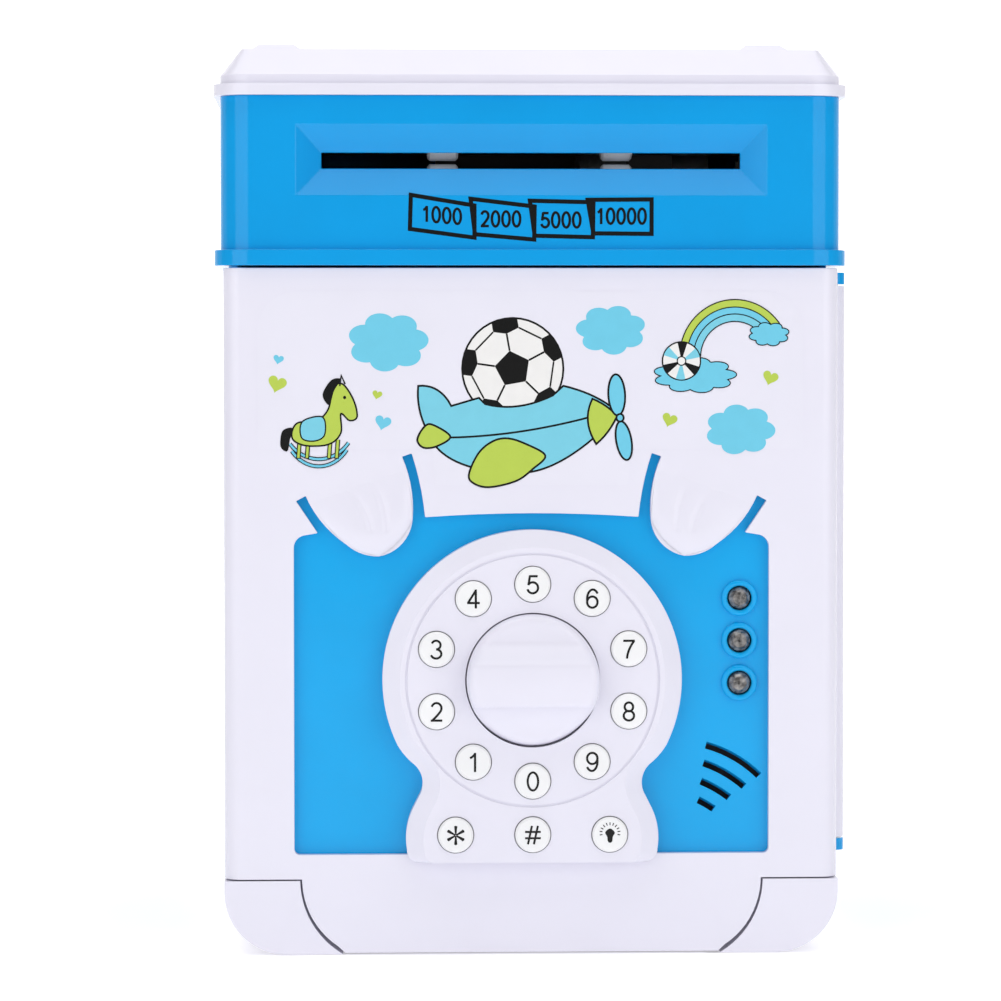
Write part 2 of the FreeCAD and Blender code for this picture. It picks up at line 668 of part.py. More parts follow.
def note_guides():
    """Two plates that keep the note between the rollers; each has windows for them."""
    for label, low, high in (
            ("note_guide_lower", "slot_level - 3.6", "slot_level - 2.2"),
            ("note_guide_upper", "slot_level + 2.2", "slot_level + 3.6")):
        body = new_body(label)
        sketch = sketch_on(body, "XY_Plane", low)
        draw_rectangle(sketch, "-46", "-front + funnel_depth + 1.5", "46", "-32")
        for side in ("roller_x", "-roller_x"):
            draw_rectangle(sketch, side + " - 4.4", "-feed_y - 6.4", side + " + 4.4",
                           "-feed_y + 6.4")
        extrude(body, sketch, "(%s) - (%s)" % (high, low))
        if label == "note_guide_upper":
            props = [box(x_low, x_high, "-50", "-46.4", low, high)
                     for x_low, x_high in (("45", "52.4"), ("-52.4", "-45"))]
        else:
            props = [box(x_low, x_high, "-34", "-32", "rib_high + 1.6", low + " + 0.5")
                     for x_low, x_high in (("36", "40"), ("-40", "-36"))]
        finish(fuse(body, *props), label)


def feed_motor(pinion):
    """Motor can with a plastic end cap and its bearing nose."""
    can = rod("x", pinion, "motor_radius", "14", "40")
    flat = box("10", "46", "-40", "20", "%.3f + motor_radius - 2.4" % pinion[1],
               "%.3f + 30" % pinion[1])
    under = box("10", "46", "-40", "20", "%.3f - 30" % pinion[1],
                "%.3f - motor_radius + 2.4" % pinion[1])
    nose = rod("x", pinion, "3", "39", "41.5")
    bore = rod("x", pinion, "axle_radius + running_gap", "13", "47")
    cap = cut(rod("x", pinion, "motor_radius - 0.6", "12", "14"),
              box("11", "15", "-40", "20", "%.3f + motor_radius - 3" % pinion[1],
                  "%.3f + 30" % pinion[1]),
              box("11", "15", "-40", "20", "%.3f - 30" % pinion[1],
                  "%.3f - motor_radius + 3" % pinion[1]))
    finish(group(cut(fuse(can, nose), flat, under, bore), cap), "feed_motor")


def motor_shaft(pinion):
    finish(rod("x", pinion, "axle_radius", "15", "gear_near + gear_width + 0.5"),
           "motor_shaft")


def motor_clip(pinion):
    """A saddle that holds the motor on the deck."""
    low = "%.3f - motor_radius + 2.4" % pinion[1]
    saddle = box("18", "36", "-26", "7.5", "rib_high + 1.6", low)
    strap = box("22", "32", "%.3f - motor_radius - 1.6" % pinion[0],
                "%.3f + motor_radius + 1.6" % pinion[0], "rib_high + 1.6",
                "%.3f + motor_radius - 0.8" % pinion[1])
    room = cut(rod("x", pinion, "motor_radius + 0.02", "10", "46"),
               box("9", "47", "-40", "20", "%.3f + motor_radius - 2.38" % pinion[1],
                   "%.3f + 30" % pinion[1]),
               box("9", "47", "-40", "20", "%.3f - 30" % pinion[1], low))
    finish(cut(fuse(saddle, strap), room), "motor_clip")


def feeder_board():
    """Small circuit board with the sensor that sees a note arrive."""
    board = box("-44", "-16", "-14", "8", "rib_high + 4", "rib_high + 5.6")
    legs = [rod("z", (x, y), "1.6", "rib_high + 1.6", "rib_high + 4.5")
            for x in ("-41", "-19") for y in ("-11", "5")]
    sensor = box("-33", "-27", "-18", "-11", "rib_high + 5", "rib_high + 10")
    chip = box("-40", "-34", "-6", "2", "rib_high + 5", "rib_high + 7.4")
    finish(fuse(board, sensor, chip, *legs), "feeder_board")


# ---------------------------------------------------------------- door

def window_edges():
    """The door's window: a box whose top edge bends round two lobes of the door."""
    half, low = size("window_half"), size("window_low")
    return with_mirror(chain(
        (0, low), (half - 1.2, low), ((half - 0.35, low + 0.35), (half, low + 1.2)),
        (half, 85.6), ((half - 0.7, 87.3), (47.9, 88.1)), (44.9, 88.6), (49.4, 95.3),
        (47.4, 96.4), ((43.1, 89.8), (38.9, 86.2)), ((36.0, 84.4), (32.0, 83.7)),
        ((27.0, 86.6), (25.0, 91.6)), ((25.3, 98.2), (27.2, 104.6)), (25.2, 105.3),
        ((23.6, 99.5), (22.4, 91.9)), ((11.2, 92.5), (0, 92.7))))


def tongue_edges(inset):
    """Half of the tongue between the tray's corners; an inset leaves room to swing out."""
    top, middle, bottom = seam_edges(-inset)
    low = size("tongue_low")
    root = size("door_low")
    return chain((0, low), (bottom[0], low), (middle, (top[0], root)), (top[0], root + 1),
                 (0, root + 1))


def door_shell():
    """White front of the door: rim, window, tongue between the tray's corners, barrel."""
    body = new_body("door_shell")
    outer = sketch_on(body, "XZ_Plane", "front")
    draw_rectangle(outer, "-half_width", "door_low", "half_width", "door_high")
    extrude(body, outer, "front - door_rear", backwards=True)
    at_front = -size("front")
    half = size("half_width")
    dress(body, "PartDesign::Fillet", "door_round",
          lambda place: abs(place.y - at_front) < 0.01 and abs(abs(place.x) - half) < 0.01)
    for depth, length, inset in (("front", "tongue_skin", 0.0),
                                 ("front - tongue_skin", "wall - tongue_skin", 2.6)):
        tongue = sketch_on(body, "XZ_Plane", depth)
        hinge_side = tongue_edges(inset)
        other_side = [tuple((-across, up) for across, up in edge)
                      for edge in tongue_edges(0.0)]
        draw_edges(tongue, hinge_side + other_side)
        extrude(body, tongue, length, backwards=True)
    inner = sketch_on(body, "XZ_Plane", "door_rear")
    draw_rectangle(inner, "-half_width + wall", "door_low + wall", "half_width - wall",
                   "door_high - wall")
    pocket(body, inner, "front - door_rear - wall", backwards=True)
    window = sketch_on(body, "XZ_Plane", "front")
    draw_edges(window, window_edges())
    pocket(body, window, "wall + 1")
    barrel = rod("z", ("hinge_x", "-hinge_y"), "hinge_radius", "hinge_low + knuckle + 0.3",
                 "hinge_high - knuckle - 0.3")
    clear = [rod("z", ("hinge_x", "-hinge_y"), "hinge_radius + 0.5", low, high)
             for low, high in (("hinge_low - 0.3", "hinge_low + knuckle + 0.3"),
                               ("hinge_high - knuckle - 0.3", "hinge_high + 0.3"))]
    bore = rod("z", ("hinge_x", "-hinge_y"), "pin_radius + running_gap", "hinge_low + 2",
               "hinge_low + 11.4")
    bore_high = rod("z", ("hinge_x", "-hinge_y"), "pin_radius + running_gap",
                    "hinge_high - 11.4", "hinge_high - 2")
    posts, holes = screw_posts(door_screw_places(), "-front + wall - 0.5", levels=("134",))
    finish(cut(fuse(body, barrel, *posts), *clear, bore, bore_high, *holes), "door_shell")


def dial_edges(inset=0.0, lift=0.0):
    """Dial outline, drawn in by an inset: a circle on a pedestal with a flat, lifted foot."""
    low = size("dial_low") + lift
    level, radius = size("dial_level"), size("dial_radius") - inset
    join = math.radians(26.0)

    def drawn_in(across, up, heading):
        """A point of the outline moved inwards, against the way its rim faces."""
        turn = math.radians(heading)
        return across - inset * math.cos(turn), up - inset * math.sin(turn)

    start = (radius * math.cos(join), level - radius * math.sin(join))
    side = chain((0, low), (24.3 - inset, low), ((25.7 - inset, low + 0.8), (26.3 - inset, low + 2.6)),
                 (drawn_in(26.3, 27.0, 10), drawn_in(25.2, 30.6, 25)), drawn_in(23.8, 33.4, 25),
                 (drawn_in(23.0, 36.5, -5), drawn_in(24.6, 40.0, -42)),
                 (drawn_in(26.6, 41.9, -38), start))
    side.append((start, (radius, level), (0, level + radius)))
    return with_mirror(side)


def key_places():
    """Each key's name with its place: a ring of ten and a row of three."""
    places = {}
    for index in range(10):
        across = "key_ring * sin(%d deg)" % (36 * index)
        up = "dial_level + key_ring * cos(%d deg)" % (36 * index)
        if index == 0:
            up += " - key_top_drop"
        places["key_%d" % ((index + 5) % 10)] = (across, up)
    places["key_star"] = ("-key_pitch", "key_row")
    places["key_hash"] = ("0", "key_row")
    places["key_light"] = ("key_pitch", "key_row")
    return places


def dial_housing():
    """White keypad housing on the panel, with a hole for each key and one for the knob."""
    body = new_body("dial_housing")
    foot = sketch_on(body, "XZ_Plane", "front - wall")
    draw_edges(foot, dial_edges())
    extrude(body, foot, "dial_front - front + wall - dial_bevel")
    shoulder = sketch_on(body, "XZ_Plane", "dial_front - dial_bevel")
    draw_edges(shoulder, dial_edges())
    face = sketch_on(body, "XZ_Plane", "dial_front")
    draw_edges(face, dial_edges(3.6))
    bevel = body.newObject("PartDesign::AdditiveLoft", "bevel")
    bevel.Profile = shoulder
    bevel.Sections = [face]
    bevel.Ruled = True
    DOC.recompute()
    hollow = sketch_on(body, "XZ_Plane", "front - wall")
    draw_edges(hollow, dial_edges(2.0, 0.8))
    pocket(body, hollow, "dial_front - front + wall - 2.0", backwards=True)
    holes = sketch_on(body, "XZ_Plane", "dial_front")
    for across, up in key_places().values():
        draw_circle(holes, across, up, "key_hole")
    draw_circle(holes, "0", "dial_level", "knob_hole")
    pocket(body, holes, "3")
    groove = sketch_on(body, "XZ_Plane", "dial_front")
    draw_circle(groove, "0", "dial_level", "groove_radius + groove_width")
    draw_circle(groove, "0", "dial_level", "groove_radius")
    pocket(body, groove, "0.3")
    rebate = box("-40", "40", "-front - 0.05", "-front + wall + 1", "18", "window_low + 0.3")
    finish(cut(body, rebate), "dial_housing")


def door_panel():
    """Blue panel behind the window, with light sockets and fanned speaker slots."""
    body = new_body("door_panel")
    plate = sketch_on(body, "XZ_Plane", "front - wall")
    draw_rectangle(plate, "-half_width + wall + 4", "door_low + wall + 0.2",
                   "half_width - wall - 4", "112")
    extrude(body, plate, "panel_thick", backwards=True)
    opening = sketch_on(body, "XZ_Plane", "front - wall")
    draw_edges(opening, dial_edges(4.2, 2.4))
    pocket(body, opening, "panel_thick")
    ring_levels = ["light_low + light_pitch * %d" % step for step in range(3)]
    rings = [rod("y", ("light_x", up), "3.8", "-front + wall - 1.1", "-front + wall + 0.5")
             for up in ring_levels]
    sockets = [rod("y", ("light_x", up), "light_radius + 0.1", "-front", "-front + 6")
               for up in ring_levels]
    slots = [speaker_slot(step) for step in range(4)]
    posts, holes = screw_posts(door_screw_places(), "-front + wall + 1", levels=("23.2", "97"))
    finish(cut(fuse(body, *rings, *posts), *sockets, *slots, *holes), "door_panel")


def screw_posts(places, root, levels):
    """Posts for the back plate's screws at some of their levels, and the holes in them."""
    spots = [place for place in places if place[1] in levels]
    posts = [rod("y", place, "2.6", root, "-door_rear - back_thick") for place in spots]
    holes = [rod("y", place, "1.3", "-door_rear - 8", "-door_rear") for place in spots]
    return posts, holes


def speaker_slot(step):
    """One curved sound slot; the four grow along a line and slant back to the lower left."""
    sweep, half_width, heading = 26.0, 0.75, math.radians(60)
    along = 5.2 + 5.1 * step
    span = (1.9 + 1.55 * step) / sweep
    centre = (35.2 + along * 0.39, 28.3 + along * 0.65)
    hub = (centre[0] - sweep * math.cos(heading), centre[1] - sweep * math.sin(heading))

    def spot(radius, angle):
        return FreeCAD.Vector(hub[0] + radius * math.cos(heading + angle), 0,
                              hub[1] + radius * math.sin(heading + angle))

    inner = [spot(sweep - half_width, turn) for turn in (-span, 0, span)]
    outer = [spot(sweep + half_width, turn) for turn in (span, 0, -span)]
    ring = Part.Wire([Part.Arc(*inner).toShape(), Part.makeLine(inner[2], outer[0]),
                      Part.Arc(*outer).toShape(), Part.makeLine(outer[2], inner[0])])
    slot = DOC.addObject("Part::Feature", "sound_slot")
    slot.Shape = Part.Face(ring).extrude(FreeCAD.Vector(-1.2, 8, -2.0))
    slot.setExpression("Placement.Base.y", formula("-front"))
    return slot


def keys():
    """Thirteen caps with a retaining flange, each free to move in by its travel."""
    profile = [("0", "-key_face"), ("key_radius - 0.4", "-key_face"),
               ("key_radius", "-key_face + 0.4"), ("key_radius", "-dial_front + 2.2"),
               ("key_radius + 0.5", "-dial_front + 2.2"),
               ("key_radius + 0.5", "-dial_front + 2.7"), ("2.2", "-dial_front + 2.7"),
               ("2.2", "-dial_front + 3.3"), ("0", "-dial_front + 3.3")]
    for label, (across, up) in key_places().items():
        finish(turned(label, profile, (across, "0", up)), label)


def keypad_stack():
    """Rubber dome mat and circuit board behind the keys, clear of the knob's shaft."""
    for label, near, thick in (("keypad_mat", "dial_front - 4.5", "1.1"),
                               ("keypad_board", "dial_front - 5.6", "1.4")):
        body = new_body(label)
        sketch = sketch_on(body, "XZ_Plane", near)
        draw_edges(sketch, dial_edges(4.8, 2.9))
        draw_circle(sketch, "0", "dial_level", "shaft_radius + 2.0")
        extrude(body, sketch, thick, backwards=True)
        finish(body, label)


def knob():
    """Round knob scooped above and below a grip bar, on a shaft through the door."""
    disc = rod("y", ("0", "dial_level"), "knob_radius", "-knob_front", "-dial_front + 2.4")
    flange = rod("y", ("0", "dial_level"), "knob_radius + 1.0", "-dial_front + 2.3",
                 "-dial_front + 3.2")
    stem = rod("y", ("0", "dial_level"), "shaft_radius", "-dial_front + 2", "-cam_near")
    scoops = [rod("x", ("-knob_front - 2.9", "dial_level %s scoop_level" % sign),
                  "scoop_radius", "-20", "20") for sign in "+-"]
    bore = rod("y", ("0", "dial_level"), "1.3", "-cam_near - 8.2", "-cam_near + 1")
    finish(cut(fuse(cut(disc, *scoops), flange, stem), bore), "knob")


def knob_screw():
    profile = [("0", "0"), ("1.3", "0"), ("1.3", "8"), ("4.0", "8"), ("4.0", "9.0"),
               ("3.2", "9.8"), ("0", "9.8")]
    finish(turned("knob_screw", profile, ("0", "-cam_near - 8", "dial_level")), "knob_screw")


def latch_cam():
    """Disc with a spiral slot that moves the bolt evenly, and two notches for the plunger."""
    throw, start = size("bolt_throw"), size("slot_start")
    half = size("cam_slot")

    def spiral(angle, side):
        radius = start + throw * angle / (math.pi / 2)
        slope = throw / (math.pi / 2)
        along = (-slope * math.cos(angle) + radius * math.sin(angle),
                 -slope * math.sin(angle) - radius * math.cos(angle))
        length = math.hypot(*along)
        return FreeCAD.Vector(-radius * math.cos(angle) + side * along[1] / length, 0,
                              -radius * math.sin(angle) - side * along[0] / length)

    steps = [math.pi / 2 * index / 8 for index in range(9)]
    curves = []
    for side in (half, -half):
        curve = Part.BSplineCurve()
        curve.interpolate([spiral(angle, side) for angle in steps])
        curves.append(curve.toShape())
    ends = []
    for angle, sign in ((0.0, 1), (math.pi / 2, -1)):
        radius = start + throw * angle / (math.pi / 2)
        centre = FreeCAD.Vector(-radius * math.cos(angle), 0, -radius * math.sin(angle))
        first, last = spiral(angle, half), spiral(angle, -half)
        across = (first - last).cross(FreeCAD.Vector(0, 1, 0)).normalize() * half * sign
        ends.append(Part.Arc(first, centre - across, last).toShape())
    outline = Part.Wire(Part.__sortEdges__(curves + ends))
    thick = size("cam_far") - size("cam_near")
    tool = Part.Face(outline).extrude(FreeCAD.Vector(0, thick + 2, 0))
    disc = Part.makeCylinder(size("cam_radius"), thick, FreeCAD.Vector(0, 0, 0),
                             FreeCAD.Vector(0, 1, 0))
    bore = Part.makeCylinder(size("shaft_radius"), thick + 2, FreeCAD.Vector(0, -1, 0),
                             FreeCAD.Vector(0, 1, 0))
    reach = size("cam_radius") - size("notch_depth")
    width = size("plunger_radius") + 0.5
    top = Part.makeBox(2 * width, thick + 2, 10, FreeCAD.Vector(-width, -1, reach))
    left = Part.makeBox(10, thick + 2, 2 * width, FreeCAD.Vector(-reach - 10, -1, -width))
    tool.translate(FreeCAD.Vector(0, -1, 0))
    cam = DOC.addObject("Part::Feature", "latch_cam")
    cam.Shape = disc.cut([tool, bore, top, left])
    cam.setExpression("Placement.Base.y", formula("-cam_far"))
    cam.setExpression("Placement.Base.z", formula("dial_level"))
    finish(cam, "latch_cam")


def latch_bolt():
    """Sliding bolt with a cranked tip that passes behind the strongbox's front frame."""
    bar = box("-45", "-slot_start + 2.2", "-door_rear + 0.5", "-cam_far - 0.4",
              "dial_level - bolt_half", "dial_level + bolt_half")
    crank = box("-45", "-41.5", "-door_rear + 0.5", "-door_rear + 7.6",
                "dial_level - bolt_half", "dial_level + bolt_half")
    tip = box("-opening_half + 1.5", "-43", "-door_rear + 5.1", "-door_rear + 7.6",
              "dial_level - bolt_half", "dial_level + bolt_half")
    pin = rod("y", ("-slot_start", "dial_level"), "bolt_pin", "-cam_far - 1", "-cam_near")
    room = rod("y", ("0", "dial_level"), "shaft_radius + 0.6", "-door_rear", "-cam_far")
    finish(cut(fuse(bar, crank, tip, pin), room), "latch_bolt")


def solenoid():
    """Steel frame, copper coil and the plunger that blocks the cam."""
    y_mid = "-(cam_near + cam_far) / 2"
    low = "dial_level + cam_radius + 1.2"
    high = low + " + 11.5"
    shell = box("-8", "8", y_mid + " - 5.4", y_mid + " + 5.4", low, high)
    room = box("-6.8", "6.8", y_mid + " - 6", y_mid + " + 6", low + " + 1.2", high + " - 1.2")
    hole = rod("z", ("0", y_mid), "plunger_radius + 0.1", low + " - 1", high + " + 1")
    finish(cut(shell, room, hole), "solenoid_frame")
    coil = rod("z", ("0", y_mid), "4.9", low + " + 1.2", high + " - 1.2")
    core = rod("z", ("0", y_mid), "plunger_radius + 0.1", low, high)
    finish(cut(coil, core), "solenoid_coil")
    stem = rod("z", ("0", y_mid), "plunger_radius", "dial_level + cam_radius + 0.4",
               high + " + plunger_stroke + 1")
    cap = rod("z", ("0", y_mid), "2.4", high + " + plunger_stroke + 0.2",
              high + " + plunger_stroke + 1.4")
    finish(fuse(stem, cap), "solenoid_plunger")


def door_back():
    """Plate that closes the door from behind, with the battery box moulded on."""
    plate = box("-half_width + wall + 0.1", "half_width - wall - 3.2", "-door_rear - back_thick",
                "-door_rear", "door_low + wall + 0.1", "door_high - wall - 0.1")
    shaft_hole = rod("y", ("0", "dial_level"), "shaft_radius + 0.08", "-60", "-30")
    battery_low = "cell_low - cell_pitch / 2 - 1.4"
    battery_high = "cell_low + cell_pitch * 2.5 + 1.2"
    outer = box("-cell_length / 2 - 4", "cell_length / 2 + 4", "-door_rear - 1", "-cell_y + 8.4",
                battery_low, battery_high)
    inner = box("-cell_length / 2 - 2.6", "cell_length / 2 + 2.6", "-door_rear + 0.4", "0",
                "cell_low - cell_pitch / 2 - 0.1", "cell_low + cell_pitch * 2.5 + 0.1")
    holes = [rod("y", place, "1.5", "-60", "-30") for place in door_screw_places()]
    finish(cut(fuse(plate, outer), inner, shaft_hole, *holes), "door_back")


def door_screw_places():
    return [(x, z) for x in ("48.5", "-48.5") for z in ("23.2", "97", "134")]


def door_screws():
    """Screws through the back plate, and one that holds the battery cover."""
    into_front = FreeCAD.Rotation(FreeCAD.Vector(0, 0, 1), 180)
    plate = [screw((x, "-door_rear", z), into_front, "7") for x, z in door_screw_places()]
    finish(group(*plate), "door_screws")


def lock_cover():
    """Box over the cam, bolt and solenoid on the back of the door."""
    low, high = "dial_level - cam_radius - 3", "dial_level + cam_radius + 19.1"
    outer = box("-42", "20", "-door_rear", "-27.5", low, high)
    inner = box("-40.4", "18.4", "-door_rear - 1", "-29.1", low + " + 1.3",
                high + " - 1.3")
    gate = box("-50", "-38", "-door_rear - 1", "-33.4", "dial_level - bolt_half - 0.4",
               "dial_level + bolt_half + 0.4")
    finish(cut(outer, inner, gate), "lock_cover")


def batteries():
    """Three cells, the spring contacts at their ends, and the cover."""
    levels = ["cell_low + cell_pitch * %d" % step for step in range(3)]
    cells = []
    for level in levels:
        can = rod("x", ("-cell_y", level), "cell_radius", "-cell_length / 2",
                  "cell_length / 2 - 1.2")
        tip = rod("x", ("-cell_y", level), "2.7", "cell_length / 2 - 2", "cell_length / 2")
        cells.append(fuse(can, tip))
    finish(group(*cells), "battery_cells")
    plates = [box(low, high, "-cell_y - 4.5", "-cell_y + 4.5", level + " - 4.5", level + " + 4.5")
              for level in levels for low, high in (
                  ("-cell_length / 2 - 2.5", "-cell_length / 2 - 2.1"),
                  ("cell_length / 2 + 2.1", "cell_length / 2 + 2.5"))]
    finish(group(*plates), "battery_contacts")
    cover = box("-cell_length / 2 - 4", "cell_length / 2 + 4", "-cell_y + 8.5", "-cell_y + 10.1",
                "cell_low - cell_pitch / 2 - 1.4", "cell_low + cell_pitch * 2.5 + 1.2")
    tabs = box("-cell_length / 2 - 2.4", "cell_length / 2 + 2.4", "-cell_y + 7.4",
               "-cell_y + 8.6", "cell_low - cell_pitch / 2 + 0.2",
               "cell_low + cell_pitch * 2.5 - 0.2")
    ribs = box("-cell_length / 2 - 1", "cell_length / 2 + 1", "-cell_y + 7.3", "-cell_y + 8.7",
               "cell_low - cell_pitch / 2 + 1.6", "cell_low + cell_pitch * 2.5 - 1.6")
    finish(fuse(cover, cut(tabs, ribs)), "battery_cover")


def status_lights():
    """Three clear domed lights on one small board."""
    profile = [("0", "-front + 0.4"), ("1.4", "-front + 0.7"), ("2.2", "-front + 1.5"),
               ("light_radius", "-front + 2.6"), ("light_radius", "-front + 4.6"),
               ("light_radius + 0.4", "-front + 4.6"), ("light_radius + 0.4", "-front + 5.4"),
               ("0", "-front + 5.4")]
    lamps = [turned("light", profile, ("light_x", "0", "light_low + light_pitch * %d" % step))
             for step in range(3)]
    finish(group(*lamps), "status_lights")
    finish(box("light_x - 5", "light_x + 5", "-front + 5.4", "-front + 6.8", "light_low - 6",
               "light_low + light_pitch * 2 + 6"), "light_board")


def speaker():
    """Loudspeaker: steel basket with its magnet, and the paper cone in front of it."""
    place = ("speaker_x", "0", "speaker_level")
    basket = [("speaker_radius - 1.6", "-front + 4.4"), ("speaker_radius", "-front + 4.4"),
              ("speaker_radius", "-front + 6.0"), ("8.5", "-front + 8.4"),
              ("6.5", "-front + 8.4"), ("6.5", "-front + 12.6"), ("0", "-front + 12.6"),
              ("0", "-front + 8.0"), ("7.6", "-front + 8.0"),
              ("speaker_radius - 1.6", "-front + 5.6")]
    finish(turned("speaker_basket", basket, place), "speaker_basket")
    cone = [("0", "-front + 6.2"), ("3.4", "-front + 7.0"), ("speaker_radius - 2.0",
                                                          "-front + 4.8"),
            ("speaker_radius - 2.0", "-front + 5.2"), ("3.4", "-front + 7.6"),
            ("0", "-front + 7.6")]
    finish(turned("speaker_cone", cone, place), "speaker_cone")


# ---------------------------------------------------------------- build, check and write

def build():
    lower_case()
    base_tray()
    rubber_feet()
    case_screws()
    hinge_pins()
    head_housing()
    top_lid()
    handle_pins()
    carry_handle()
    coin_chute()
    idler, pinion = gear_train()
    shaft("feed_shaft", "-feed_y", "feed_level", "-53.9", "gear_near + gear_width + 2.9")
    shaft("pinch_shaft", "-feed_y", "pinch_level", "-53.9", "53.9")
    rollers("feed_rollers", "roller_radius", "feed_level")
    rollers("pinch_rollers", "pinch_radius", "pinch_level")
    feeder_deck(idler)
    idler_axle(idler)
    note_guides()
    feed_motor(pinion)
    motor_shaft(pinion)
    motor_clip(pinion)
    feeder_board()
    door_shell()
    door_panel()
    dial_housing()
    keys()
    keypad_stack()
    knob()
    knob_screw()
    latch_cam()
    latch_bolt()
    solenoid()
    door_back()
    door_screws()
    lock_cover()
    batteries()
    status_lights()
    speaker()
    DOC.recompute()


def check_and_write():
    """Stop on any failed object; then write one STEP file for each sub-part."""
    for thing in DOC.Objects:
        if "Invalid" in thing.State or "Error" in thing.State:
            raise RuntimeError("%s (%s) failed: %s" % (thing.Label, thing.Name, thing.State))
    for thing in FINISHED:
        if thing.Shape.isNull() or not thing.Shape.isValid():
            raise RuntimeError("%s has no valid shape" % thing.Label)
    os.makedirs("parts", exist_ok=True)
    for thing in FINISHED:
        thing.Shape.exportStep(os.path.join("parts", thing.Label + ".step"))
        print("%-18s %2d solids %9.1f mm3" % (thing.Label, len(thing.Shape.Solids),
                                              thing.Shape.Volume))


build()
check_and_write()
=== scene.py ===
import json
import math

import bmesh
import bpy
from mathutils import Euler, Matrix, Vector

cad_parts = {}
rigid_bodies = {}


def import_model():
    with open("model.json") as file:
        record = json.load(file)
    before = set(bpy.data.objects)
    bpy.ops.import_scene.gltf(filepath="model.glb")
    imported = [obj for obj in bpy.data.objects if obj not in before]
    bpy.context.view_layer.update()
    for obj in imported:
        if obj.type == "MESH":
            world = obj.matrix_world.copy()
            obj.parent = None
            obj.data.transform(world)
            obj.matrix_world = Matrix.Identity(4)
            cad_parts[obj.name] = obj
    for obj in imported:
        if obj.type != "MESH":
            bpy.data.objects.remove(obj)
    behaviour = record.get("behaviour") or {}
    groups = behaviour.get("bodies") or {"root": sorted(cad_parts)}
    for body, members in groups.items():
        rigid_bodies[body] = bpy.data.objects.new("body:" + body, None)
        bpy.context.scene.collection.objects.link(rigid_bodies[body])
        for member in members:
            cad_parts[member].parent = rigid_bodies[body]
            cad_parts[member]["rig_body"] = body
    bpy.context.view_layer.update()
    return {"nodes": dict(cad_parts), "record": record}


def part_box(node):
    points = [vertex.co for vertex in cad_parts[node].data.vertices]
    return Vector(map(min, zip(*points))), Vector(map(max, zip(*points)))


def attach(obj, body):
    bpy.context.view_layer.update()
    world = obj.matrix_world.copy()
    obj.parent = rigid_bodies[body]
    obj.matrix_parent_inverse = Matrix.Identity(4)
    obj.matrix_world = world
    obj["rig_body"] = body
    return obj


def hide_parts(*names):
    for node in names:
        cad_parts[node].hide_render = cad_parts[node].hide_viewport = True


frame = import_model()

MM = 0.001
SAME = 0.00001
DOOR_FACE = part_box("door_shell")[0].y
KEY_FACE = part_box("key_5")[0].y
DIAL_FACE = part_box("dial_housing")[0].y
LIFT = 0.00002            # printing above its face
FILM_THICK = 0.00006      # the label on the door
INK_STEP = 0.0000012      # each printed shape above the one before
SNUG = 0.0005             # how far the door's lower edges reach down to the tray
SINK = 0.05               # how deep a lobe's skin starts inside the door's face, in mm
CORNER_ANGLE = math.radians(60)
ABOVE_RIB = 0.155         # level of the plain front of the head
WINDOW_HALF, WINDOW_LOW, WINDOW_HIGH = 0.0535, 0.0195, 0.11
LAMP_RING = 0.0042        # radius that holds a lamp ring's edges
DOOR_SIDE = 0.055         # beyond this, to left and right, the door has no tongue


# ---------------------------------------------------------------- materials

def new_material(name):
    material = bpy.data.materials.new(name)
    material.use_nodes = True
    return material, material.node_tree, material.node_tree.nodes["Principled BSDF"]


def noise(tree, place, scale, detail=2.0, stretch=(1.0, 1.0, 1.0)):
    mapping = tree.nodes.new("ShaderNodeMapping")
    mapping.inputs["Scale"].default_value = stretch
    texture = tree.nodes.new("ShaderNodeTexNoise")
    texture.inputs["Scale"].default_value = scale
    texture.inputs["Detail"].default_value = detail
    tree.links.new(place.outputs["Object"], mapping.inputs["Vector"])
    tree.links.new(mapping.outputs["Vector"], texture.inputs["Vector"])
    return texture


def ramp(tree, source, low, high, start=0.35, end=0.65):
    node = tree.nodes.new("ShaderNodeValToRGB")
    node.color_ramp.elements[0].position = start
    node.color_ramp.elements[0].color = (*low, 1.0)
    node.color_ramp.elements[1].position = end
    node.color_ramp.elements[1].color = (*high, 1.0)
    tree.links.new(source, node.inputs["Fac"])
    return node.outputs["Color"]


def span(tree, source, low, high):
    node = tree.nodes.new("ShaderNodeMapRange")
    node.inputs["From Min"].default_value = 0.3
    node.inputs["From Max"].default_value = 0.7
    node.inputs["To Min"].default_value = low
    node.inputs["To Max"].default_value = high
    tree.links.new(source, node.inputs["Value"])
    return node.outputs["Result"]


def bump(tree, shader, source, strength, distance):
    node = tree.nodes.new("ShaderNodeBump")
    node.inputs["Strength"].default_value = strength
    node.inputs["Distance"].default_value = distance
    tree.links.new(source, node.inputs["Height"])
    tree.links.new(node.outputs["Normal"], shader.inputs["Normal"])


def shade(colour, factor):
    """A darker or lighter tone of a colour."""
    return tuple(min(1.0, channel * factor) for channel in colour)


